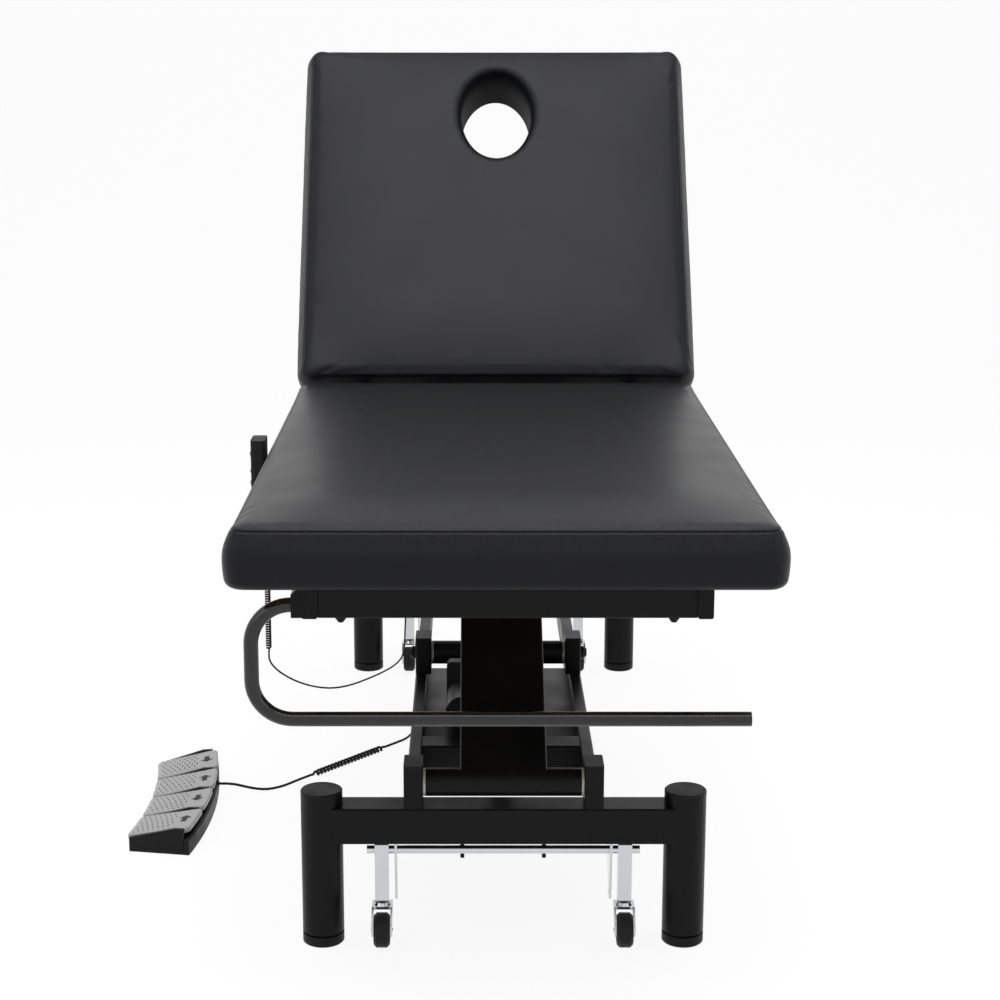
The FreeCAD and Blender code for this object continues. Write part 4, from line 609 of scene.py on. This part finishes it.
def swell(form, cap, held_below):
    """Foam pressing a cover outwards: cloth under pressure, held along its lower edge, eased towards a cap.

    A point that the cloth moves by d is moved along d by cap * |d| / sqrt(cap^2 + |d|^2)."""
    mesh = new_mesh("swelling", form.points, form.faces())
    cloth_piece = link_new("swelling", mesh)
    held = cloth_piece.vertex_groups.new(name="held")
    held.add(np.flatnonzero(form.points[:, 2] < held_below).tolist(), 1.0, "REPLACE")
    cloth = cloth_piece.modifiers.new("swelling", "CLOTH")
    cloth.settings.vertex_group_mass = held.name
    cloth.settings.effector_weights.gravity = 0.0
    for setting, value in CLOTH.items():
        setattr(cloth.settings, setting, value)
    scene = bpy.context.scene
    for number in range(1, CUSHION_FRAMES + 1):
        scene.frame_set(number)
    shaped = cloth_piece.evaluated_get(bpy.context.evaluated_depsgraph_get()).data
    moved = mesh_points(shaped) - form.points
    far = np.linalg.norm(moved, axis=1, keepdims=True)
    form.points += moved * cap / np.sqrt(cap ** 2 + far ** 2)
    scene.frame_set(1)
    bpy.data.objects.remove(cloth_piece)
    bpy.data.meshes.remove(mesh)


SEAM_PULL = (SEAM_ROW - 1, 0.1), (SEAM_ROW, 1.0), (SEAM_ROW + 1, 0.2)


def press_seam(form, depth):
    """Draws the seam's ring of points in by depth, and the rings beside it by a small share of that."""
    for row, share in SEAM_PULL:
        form.points[form.rim_rows[row]] -= form.outward[row - 1] * depth * share


STITCH_THIN = 0.7
STITCH_FLAT = 0.7


def stitch_row(path, outward, sizes):
    """Short rounded stitches along a closed path: each a flattened tube, thinned towards its ends.

    The tube's half width at share s of its half length is 1 - STITCH_THIN * s^4 of the thread's. It is
    flattened by STITCH_FLAT along the path's own outward way."""
    closed = np.vstack([path, path[:1]])
    step = np.linalg.norm(np.diff(closed, axis=0), axis=1)
    at = np.concatenate([[0.0], np.cumsum(step)])
    count = int(at[-1] / sizes.stitch_pitch)
    where = np.arange(count) * at[-1] / count
    ways = np.vstack([outward, outward[:1]])
    share = np.linspace(-1, 1, STITCH_RUN)
    spots = (where[:, None] + share * sizes.stitch_length / 2) % at[-1]
    centre = np.stack([np.interp(spots, at, closed[:, i]) for i in range(3)], axis=-1)
    out = np.stack([np.interp(spots, at, ways[:, i]) for i in range(3)], axis=-1)
    out /= np.linalg.norm(out, axis=-1, keepdims=True)
    along = centre[:, -1:] - centre[:, :1]
    along /= np.linalg.norm(along, axis=-1, keepdims=True)
    side = np.cross(along, out)
    angle = np.arange(STITCH_RING) * 2 * math.pi / STITCH_RING
    thick = (sizes.stitch_width / 2 * (1 - STITCH_THIN * share ** 4))[None, :, None, None]
    ring = out[:, :, None] * np.cos(angle)[:, None] * STITCH_FLAT + side[:, :, None] * np.sin(angle)[:, None]
    points = centre[:, :, None] + ring * thick
    one = grid_faces(STITCH_RUN, STITCH_RING, closed_columns=True)
    size = STITCH_RUN * STITCH_RING
    start = (np.arange(count) * size)[:, None]
    caps = np.array([np.arange(STITCH_RING), size - 1 - np.arange(STITCH_RING)])
    quads = (one[None, :, ::-1] + start[:, :, None]).reshape(-1, 4)
    ends = (caps[None] + start[:, :, None]).reshape(-1, STITCH_RING)
    return points.reshape(-1, 3), quads.tolist() + ends.tolist()


STITCH_ROWS = (SEAM_ROW - 3, SEAM_ROW + 2)


def add_stitching(name, form, place, body, sizes):
    """Two rows of stitches, one on each side of a cushion's edge seam."""
    points, faces, count = [], [], 0
    for row in STITCH_ROWS:
        more, more_faces = stitch_row(form.points[form.rim_rows[row]], form.outward[row - 1], sizes)
        faces += [[corner + count for corner in face] for face in more_faces]
        points.append(more)
        count += len(more)
    return add_piece(name, place(np.vstack(points)), faces, "thread", body)


def cushion_box(points, near_fill, far_fill, sizes):
    """A cushion's width, length and height, let out from its solid's box, and the middle of its underside."""
    low = points.min(axis=0) - [sizes.pad_fill + sizes.pad_shift, near_fill, 0.0]
    high = points.max(axis=0) + [sizes.pad_fill - sizes.pad_shift, far_fill, sizes.pad_rise]
    return high - low, np.array([(low[0] + high[0]) / 2, (low[1] + high[1]) / 2, low[2]])


def filled_cushion(box, hang, sizes):
    """A cushion of this width, length and height, swollen by its foam and drawn in along its seam."""
    width, length, height = box
    form = CushionForm(width, length, cushion_profile(height, hang, sizes), sizes.pad_crown,
                       sizes.crown_reach, sizes.pad_corner, sizes.pad_cell)
    swell(form, sizes.swell_cap, sizes.under_roll)
    press_seam(form, sizes.seam_depth)
    return form


# How far the cushions are let out at their near and far ends, and how far the back's lower edge hangs
SEAT_FILL = 0.004, 0.008
BACK_FILL = -0.001, 0.009
BACK_HANG = -0.001


class TABLE_OT_seat_cushion(bpy.types.Operator):
    """Makes the seat's cushion and its stitching"""
    bl_idname = "table.seat_cushion"
    bl_label = "Seat cushion"

    def execute(self, context):
        sizes = context.scene.table_sizes
        box, middle = cushion_box(node_points("seat_pad"), *SEAT_FILL, sizes)
        form = filled_cushion(box, sizes.under_hang, sizes)
        cushion = add_piece("seat_cushion", form.points + middle, form.faces(), "black_leatherette",
                            "table_frame")
        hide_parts("seat_pad")
        stitches = add_stitching("seat_stitching", form, lambda local: local + middle, "table_frame", sizes)
        return {"FINISHED"}


# Face hole: steps along the dip, the cut's share of the roll, the lining's tuck and cover, the welt's shares
RIM_STEPS = 10
RIM_CUT = 0.12
RIM_TUCK = 0.0015
RIM_COVER = 0.0002
WELT_OUT = 0.3
WELT_DOWN = 0.1
HALVINGS = 24


def oval(centre, half, outset):
    """Points round an oval that is larger by outset."""
    angle = np.linspace(0, 2 * math.pi, OVAL_STEPS, endpoint=False)
    reach = half[:, None] + outset
    return np.column_stack([centre[0] + reach[0] * np.cos(angle), centre[1] + reach[1] * np.sin(angle)])


class TABLE_OT_back_cushion(bpy.types.Operator):
    """Makes the backrest's cushion with its face hole, the hole's lining and the stitching"""
    bl_idname = "table.back_cushion"
    bl_label = "Back cushion"

    def execute(self, context):
        sizes = context.scene.table_sizes
        box, middle = cushion_box(from_back(node_points("back_pad")), *BACK_FILL, sizes)
        lining = from_back(node_points("face_sleeve"))
        hole_low, hole_high = lining.min(axis=0), lining.max(axis=0)
        half = (hole_high - hole_low)[:2] / 2
        centre = ((hole_high + hole_low) / 2 - middle)[:2]

        form = filled_cushion(box, BACK_HANG, sizes)
        start = oval(centre, half, sizes.rim_roll)
        face = form.top_height(start[:, 0], start[:, 1])
        top = form.points[:form.shape[0] * form.shape[1]]
        edge = top[:, 2] - sizes.rim_drop * (1 - math.cos(math.asin(1 - RIM_CUT)))
        top[:, 2] -= self.dip(top[:, :2] - centre, half, sizes)
        form.points, faces = self.open_hole(form, centre, half + sizes.rim_roll * RIM_CUT, edge)

        def place(local):
            return onto_back(local + middle)

        cushion = add_piece("back_cushion", place(form.points), faces, "black_leatherette", "backrest")
        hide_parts("back_pad")
        stitches = add_stitching("back_stitching", form, place, "backrest", sizes)

        rim, rim_faces = self.hole_lining(centre, half, face, hole_low[2] - middle[2], sizes)
        sleeve = add_piece("face_hole_lining", place(rim), rim_faces, "lining", "backrest")
        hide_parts("face_sleeve")
        return {"FINISHED"}

    @staticmethod
    def dip(offset, half, sizes):
        """How far the cushion's face dips at places about the hole: a quarter ellipse of the place's outset.

        The outset is the growth of both half axes that brings the oval to the place, by halving its range."""
        least, most = np.zeros(len(offset)), np.full(len(offset), sizes.rim_roll)
        for _ in range(HALVINGS):
            guess = (least + most) / 2
            outside = np.sum((offset / (half + guess[:, None])) ** 2, axis=1) > 1
            least, most = np.where(outside, guess, least), np.where(outside, most, guess)
        return sizes.rim_drop * (1 - np.cos(np.arcsin(1 - most / sizes.rim_roll)))

    @staticmethod
    def open_hole(form, centre, reach, edge):
        """Opens the cushion inside an oval: cells whose middle is inside it go from top and underside, the
        cut's points move onto the oval at the edge's height, and a wall joins the two cuts."""
        rows, columns = form.shape
        count = rows * columns
        grid = form.points[:count].reshape(rows, columns, 3)[:, :, :2]
        middle = (grid[1:, 1:] + grid[:-1, 1:] + grid[1:, :-1] + grid[:-1, :-1]) / 4
        gone = np.sum(((middle - centre) / reach) ** 2, axis=-1) < 1
        number = np.arange(count).reshape(rows, columns)
        padded = np.pad(gone, 1)
        right, left = padded[1:-1, 1:], padded[1:-1, :-1]
        behind, before = padded[1:, 1:-1], padded[:-1, 1:-1]
        edges = []
        for mask, down, over, order in ((right & ~left, 1, 0, 1), (left & ~right, 1, 0, -1),
                                        (behind & ~before, 0, 1, -1), (before & ~behind, 0, 1, 1)):
            i, j = np.nonzero(mask)
            edges.append(np.column_stack([number[i, j], number[i + down, j + over]][::order]))
        edges = np.vstack(edges)
        cut = np.unique(edges)
        points = form.points.copy()
        points[cut, 2] = edge[cut]
        for level in (cut, form.below[cut]):
            way = (points[level, :2] - centre) / reach
            points[level, :2] = centre + way / np.linalg.norm(way, axis=1, keepdims=True) * reach
        walls = np.column_stack([edges[:, 1], edges[:, 0], form.below[edges[:, 0]], form.below[edges[:, 1]]])
        kept = ~gone.ravel()
        faces = np.vstack([form.top_faces[kept], form.side_faces, form.under_faces[kept], walls])
        used = np.unique(faces)
        fresh = np.full(len(points), -1)
        fresh[used] = np.arange(len(used))
        form.rim_rows = fresh[form.rim_rows]
        return points[used], fresh[faces]

    @staticmethod
    def hole_lining(centre, half, face, tail, sizes):
        """A profile carried round the oval: from under the cushion's cut it follows the dip's quarter ellipse
        to the hole's edge, turns over a small welt, runs down the hole and comes back up behind it."""
        wall, roll, drop = sizes.sleeve_wall, sizes.rim_roll, sizes.rim_drop
        lean = np.linspace(math.asin(1 - RIM_CUT), math.pi / 2, RIM_STEPS)
        under = drop * (1 - math.cos(lean[0])) + RIM_TUCK
        low = np.full(len(face), tail)
        tuck = roll * RIM_CUT + RIM_TUCK
        turns = [(tuck, face - under)]
        turns += zip(roll * (1 - np.sin(lean)), face + RIM_COVER - drop * (1 - np.cos(lean))[:, None])
        turns += [(-WELT_OUT * wall, face - drop - WELT_DOWN * wall), (-wall, face - drop - wall),
                  (-wall, face - 3 * drop), (-wall, low), (0.0, low), (0.0, face - 2 * drop),
                  (tuck, face - under - wall)]
        rings = [np.column_stack([oval(centre, half, outset), height]) for outset, height in turns]
        points = np.vstack(rings)
        return points, grid_faces(len(rings), OVAL_STEPS, closed_rows=True, closed_columns=True)


# Cords


def curly(start, way, turns, pitch, radius, tail):
    """Points of a curly cord: a helix about its axis that grows from the axis over the first turn by a smooth
    step, shrinks back over the last, and rises faster in those two turns."""
    start, way = np.array(start), np.array(way) / np.linalg.norm(way)
    guide = np.array([0.0, 0.0, 1.0]) if abs(way[2]) < 0.9 else np.array([1.0, 0.0, 0.0])
    across = np.cross(way, guide)
    across /= np.linalg.norm(across)
    up = np.cross(way, across)
    turn = np.linspace(0, turns, turns * POINTS_PER_TURN + 1)
    first, last = np.minimum(turn, 1.0), np.minimum(turns - turn, 1.0)
    edge = np.minimum(first, last)
    swing = radius / math.cos(math.pi / POINTS_PER_TURN) * edge ** 2 * (3 - 2 * edge)
    rise = tail + pitch * (turn + first * (2 - first) + 1 - last * (2 - last))
    angle = 2 * math.pi * turn
    return (start + way * rise[:, None]
            + (across * np.cos(angle)[:, None] + up * np.sin(angle)[:, None]) * swing[:, None])


def add_cord(name, points, diameter, body):
    """A round cord along one open spline; gives the piece and its length."""
    curve = bpy.data.curves.new(name, "CURVE")
    curve.dimensions = "3D"
    spline = curve.splines.new("NURBS")
    spline.points.add(len(points) - 1)
    spline.points.foreach_set("co", np.column_stack([points, np.ones(len(points))]).ravel())
    spline.order_u = 3
    spline.use_endpoint_u = True
    spline.resolution_u = 3
    curve.bevel_depth = diameter / 2
    curve.bevel_resolution = 3
    curve.use_fill_caps = True
    curve.materials.append(finish_of("cord_rubber"))
    piece = link_new(name, curve)
    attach(piece, body)
    return piece, spline.calc_length()


class TABLE_OT_cords(bpy.types.Operator):
    """Lays the handset's and the foot switch's curly cords along their routes"""
    bl_idname = "table.cords"
    bl_label = "Cords"

    def execute(self, context):
        sizes = context.scene.table_sizes
        thick = sizes.handset_cord
        coil = curly(HANDSET_COIL_TOP, HANDSET_COIL_WAY, HANDSET_TURNS, HANDSET_PITCH,
                     (sizes.handset_coil - thick) / 2, thick)
        end = np.array(HANDSET_COIL_TOP) + np.array(HANDSET_COIL_WAY) * (
            HANDSET_PITCH * (HANDSET_TURNS + 2) + 2 * thick)
        points = np.vstack([HANDSET_COIL_TOP, coil, end, HANDSET_ROUTE])
        cord, length = add_cord("handset_cord", points, thick, "table_frame")
        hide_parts("handset_coil", "handset_lead")

        thick = sizes.switch_cord
        start, goal = np.array(SWITCH_COIL_START), np.array(SWITCH_COIL_END)
        pitch = (np.linalg.norm(goal - start) - 2 * thick) / (SWITCH_TURNS + 2)
        coil = curly(start, goal - start, SWITCH_TURNS, pitch, (sizes.switch_coil - thick) / 2, thick)
        points = np.vstack([SWITCH_ROUTE, start, coil, goal, INNER_ROUTE])
        cord, length = add_cord("switch_cord", points, thick, "base")
        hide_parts("switch_lead", "switch_coil", "switch_lead_inner")
        return {"FINISHED"}


# Foot switch and handset marks

TREADLES = tuple(f"treadle_{number}" for number in range(1, 5))
COVER_CELL = 0.003
COVER_STEPS = 6
INNER_EDGE_NEAR = 1e-4
VALLEY_NEAR = 1e-5

# Arrow marks: shares of the arrow's length, and of the key's half height
ARROW_SETBACK = 0.75
KEY_ARROW = 0.46
KEY_ARROW_RISE = 0.55


def treadle_ways():
    """The middle of the switch's curve and each treadle's bearing, from the treadles' hinges.

    A hinge lies across its treadle's bearing, and two hinges equally far out give their distance."""
    hinges = [JOINTS[name + "_press"] for name in TREADLES]
    places = np.array([hinge["pos_m"][:2] for hinge in hinges])
    ways = np.array([[-hinge["axis"][1], hinge["axis"][0]] for hinge in hinges])
    reach = np.linalg.norm(places[-1] - places[0]) / np.linalg.norm(ways[-1] - ways[0])
    return (places - ways * reach).mean(axis=0), np.arctan2(ways[:, 1], ways[:, 0])


def cover_profile(sizes):
    """A rounded rim, a plain skirt and a small lower edge, from the top rim down."""
    edge, skirt, lip = sizes.cover_edge, sizes.cover_skirt, sizes.cover_edge / 4
    lean = np.linspace(0, math.pi / 2, COVER_STEPS)
    insets = np.concatenate([edge * (1 - np.sin(lean)), [0.0, lip]])
    heights = np.concatenate([-edge * (1 - np.cos(lean)), [lip - skirt, -skirt]])
    return insets, heights


ARROW_OUTLINE = np.array([(-0.5, -0.17), (0.08, -0.17), (0.08, -0.42), (0.5, 0.0), (0.08, 0.42), (0.08, 0.17),
                          (-0.5, 0.17)])


def arrow_prism(length, depth):
    """A plain flat arrow along X, with a straight side all round; gives its points and faces."""
    flat = ARROW_OUTLINE * length
    count = len(flat)
    points = np.vstack([np.column_stack([flat, np.full(count, height)]) for height in (-depth, depth)])
    ring = np.arange(count)
    sides = np.column_stack([ring, (ring + 1) % count, (ring + 1) % count + count, ring + count])
    return points, sides.tolist() + [(ring + count).tolist(), ring[::-1].tolist()]


class TABLE_OT_treadle_covers(bpy.types.Operator):
    """Makes the four domed treadle covers of the foot switch, with an arrow mark on each"""
    bl_idname = "table.treadle_covers"
    bl_label = "Treadle covers"

    def execute(self, context):
        sizes = context.scene.table_sizes
        centre, bearings = treadle_ways()
        for name, bearing, up in zip(TREADLES, bearings, (True, False, True, False)):
            points = node_points(name)
            offset = points[:, :2] - centre
            reach = np.hypot(offset[:, 0], offset[:, 1])
            swing = np.abs(np.arctan2(offset[:, 1], offset[:, 0]) - bearing).max()
            inner, outer, top = reach.min(), reach.max(), points[:, 2].max()
            low = points[reach < inner + INNER_EDGE_NEAR, 2].max()
            middle = (inner + outer) / 2
            length, width = 2 * swing * middle, outer - inner

            def place(local):
                """Bends the cover round the switch's curve and leans it up to the outer edge."""
                turn = bearing + local[:, 0] / middle
                far = middle + local[:, 1]
                lean = low + (top - low) * (local[:, 1] / width + 0.5)
                return np.column_stack([centre[0] + far * np.cos(turn), centre[1] + far * np.sin(turn),
                                        lean + local[:, 2]])

            form = CushionForm(length, width, cover_profile(sizes), sizes.cover_dome, width / 2,
                               sizes.cover_corner, COVER_CELL)
            cover = add_piece(f"{name}_cover", place(form.points), form.faces(), "treadle_grey", name,
                              uv=form.points[:, :2] + [0.0, DOT_FIELD_SHIFT])
            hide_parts(name)
            mark, faces = arrow_prism(sizes.arrow_length, sizes.mark_depth)
            if not up:
                mark = mark * [-1, -1, 1]
            across = mark[:, :2] + [0.0, width / 2 - sizes.arrow_length * ARROW_SETBACK]
            height = form.top_height(across[:, 0], across[:, 1])
            arrow = add_piece(f"{name}_arrow", place(np.column_stack([across, height + mark[:, 2]])), faces,
                              "printed_mark", name, smooth=False)
        return {"FINISHED"}


class TABLE_OT_key_marks(bpy.types.Operator):
    """Prints an up and a down arrow on each rocker key of the handset"""
    bl_idname = "table.key_marks"
    bl_label = "Key marks"

    def execute(self, context):
        sizes = context.scene.table_sizes
        for name in ("height_key", "back_key"):
            low, high = (np.array(corner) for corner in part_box(name))
            points = node_points(name)
            middle = (low[2] + high[2]) / 2
            valley = points[np.abs(points[:, 2] - middle) < VALLEY_NEAR, 0].min()
            lean = (valley - low[0]) / (high[2] - middle)
            for word, sign in (("up", 1), ("down", -1)):
                mark, faces = arrow_prism(sizes.arrow_length * KEY_ARROW, sizes.mark_depth)
                rise = (high[2] - middle) * KEY_ARROW_RISE + mark[:, 0]
                face = valley - lean * rise
                place = np.column_stack([face - mark[:, 2], sign * mark[:, 1] + (low[1] + high[1]) / 2,
                                         middle + sign * rise])
                arrow = add_piece(f"{name}_{word}_mark", place, faces, "printed_mark", name, smooth=False)
        return {"FINISHED"}


# Stage

GLOW_SHARE = 0.88
GLOW_STRENGTH = 1.03
FLOOR_NEAR = -8.0
FLOOR_FAR = 3.5
FLOOR_HALF = 9.0
SWEEP_RADIUS = 1.5
SWEEP_STEPS = 24
BACKDROP_HEIGHT = 4.0

# The sky is brightest along this way, and goes from the least to the most light over this range of its cosine
SKY_WAY = (0.0, 0.62, 0.78)
SKY_RANGE = -0.35, 0.75
SKY_LIGHT = 0.10, 0.75

# Name, place, aim, size in metres and power in watts
LAMPS = (
    ("overhead", (0.0, -0.8, 3.2), (0.0, 0.0, 0.7), 2.6, 84.0),
    ("front_left", (-2.8, -2.8, 2.2), (0.0, -0.4, 0.5), 1.6, 9.0),
    ("front_right", (2.8, -2.6, 1.8), (0.0, -0.4, 0.5), 1.6, 7.0),
)


def add_area_light(name, place, aim, size, power):
    """A soft square light that faces a point."""
    data = bpy.data.lights.new(name, "AREA")
    data.shape = "SQUARE"
    data.size = size
    data.energy = power
    light = link_new(name, data)
    light.location = place
    from_aim = np.array(place) - np.array(aim)
    yaw = math.atan2(from_aim[0], -from_aim[1])
    light.rotation_euler = (math.atan2(math.hypot(from_aim[0], from_aim[1]), from_aim[2]), 0.0, yaw)


def seen_rays(nodes):
    """One for a ray from the camera, a mirror or a clear surface, and nought for any other."""
    rays = nodes.add("ShaderNodeLightPath").outputs
    mirrored = nodes.math("MAXIMUM", rays["Is Glossy Ray"], rays["Is Transmission Ray"])
    return nodes.math("MAXIMUM", rays["Is Camera Ray"], mirrored)


class TABLE_OT_stage(bpy.types.Operator):
    """Sets the floor, the surrounding light, the lamps and the camera"""
    bl_idname = "table.stage"
    bl_label = "Stage"

    def execute(self, context):
        scene = context.scene
        scene.view_settings.view_transform = "Standard"
        self.floor(scene.table_colours.floor)
        self.surroundings(scene)
        for lamp in LAMPS:
            add_area_light(*lamp)
        camera = bpy.data.cameras.new("camera")
        camera.sensor_width = 36.0
        camera.lens = CAMERA_LENS
        camera.shift_x = CAMERA_SHIFT
        viewer = link_new("camera", camera)
        viewer.location = CAMERA_PLACE
        viewer.rotation_euler = (CAMERA_PITCH, 0.0, 0.0)
        scene.camera = viewer
        return {"FINISHED"}

    @staticmethod
    def floor(colour):
        """A flat floor that turns up behind the table in a quarter circle and ends in an upright backdrop."""
        lean = np.linspace(0, math.pi / 2, SWEEP_STEPS)
        along = np.concatenate([
            [FLOOR_NEAR, 0.0], FLOOR_FAR + SWEEP_RADIUS * np.sin(lean), [FLOOR_FAR + SWEEP_RADIUS]])
        up = np.concatenate([[0.0, 0.0], SWEEP_RADIUS * (1 - np.cos(lean)), [BACKDROP_HEIGHT]])
        across = np.linspace(-FLOOR_HALF, FLOOR_HALF, 3)
        grid = np.broadcast_arrays(across, along[:, None], up[:, None])
        points = np.stack(grid, axis=-1).reshape(-1, 3)
        mesh = new_mesh("floor", points, grid_faces(len(along), len(across)))
        material, nodes, shader = new_material("studio_floor", {
            "Base Color": opaque(colour), "Roughness": 1.0, "Specular IOR Level": 0.0})
        glow = nodes.add("ShaderNodeEmission", {"Strength": GLOW_STRENGTH})
        share = nodes.math("MULTIPLY", seen_rays(nodes), GLOW_SHARE)
        mixed = nodes.add("ShaderNodeMixShader", {0: share, 1: shader.outputs[0], 2: glow.outputs[0]})
        nodes.tree.links.new(mixed.outputs[0], nodes.tree.nodes["Material Output"].inputs["Surface"])
        mesh.materials.append(material)
        piece = link_new("floor", mesh)

    @staticmethod
    def surroundings(scene):
        """White where it is seen or mirrored; its light on the table comes from overhead and behind."""
        world = scene.world or bpy.data.worlds.new("surroundings")
        scene.world = world
        world.use_nodes = True
        nodes = Nodes(world.node_tree)
        way = nodes.add("ShaderNodeTexCoord").outputs["Generated"]
        towards = nodes.add("ShaderNodeVectorMath", {0: way, 1: SKY_WAY}, operation="DOT_PRODUCT")
        level = nodes.ramp(towards.outputs["Value"], *SKY_RANGE, *SKY_LIGHT)
        strength = nodes.add("ShaderNodeMix", {0: seen_rays(nodes), 2: level, 3: 1.0}).outputs[0]
        back = world.node_tree.nodes["Background"]
        back.inputs["Color"].default_value = (1.0, 1.0, 1.0, 1.0)
        world.node_tree.links.new(strength, back.inputs["Strength"])


class TABLE_PT_pieces(bpy.types.Panel):
    """Lists the table's pieces in the sidebar"""
    bl_label = "Treatment table"
    bl_space_type = "VIEW_3D"
    bl_region_type = "UI"
    bl_category = "Table"

    def draw(self, context):
        for operator in OPERATORS:
            self.layout.operator(operator.bl_idname)


OPERATORS = (TABLE_OT_finishes, TABLE_OT_cords, TABLE_OT_seat_cushion, TABLE_OT_back_cushion,
             TABLE_OT_treadle_covers, TABLE_OT_key_marks, TABLE_OT_stage)
CLASSES = (TableSizes, TableColours, *OPERATORS, TABLE_PT_pieces)


def register():
    for kind in CLASSES:
        bpy.utils.register_class(kind)
    bpy.types.Scene.table_sizes = PointerProperty(type=TableSizes)
    bpy.types.Scene.table_colours = PointerProperty(type=TableColours)


def unregister():
    del bpy.types.Scene.table_colours
    del bpy.types.Scene.table_sizes
    for kind in reversed(CLASSES):
        bpy.utils.unregister_class(kind)


def main():
    register()
    bpy.ops.table.finishes()
    bpy.ops.table.cords()
    bpy.ops.table.seat_cushion()
    bpy.ops.table.back_cushion()
    bpy.ops.table.treadle_covers()
    bpy.ops.table.key_marks()
    bpy.ops.table.stage()


if __name__ == "__main__":
    main()
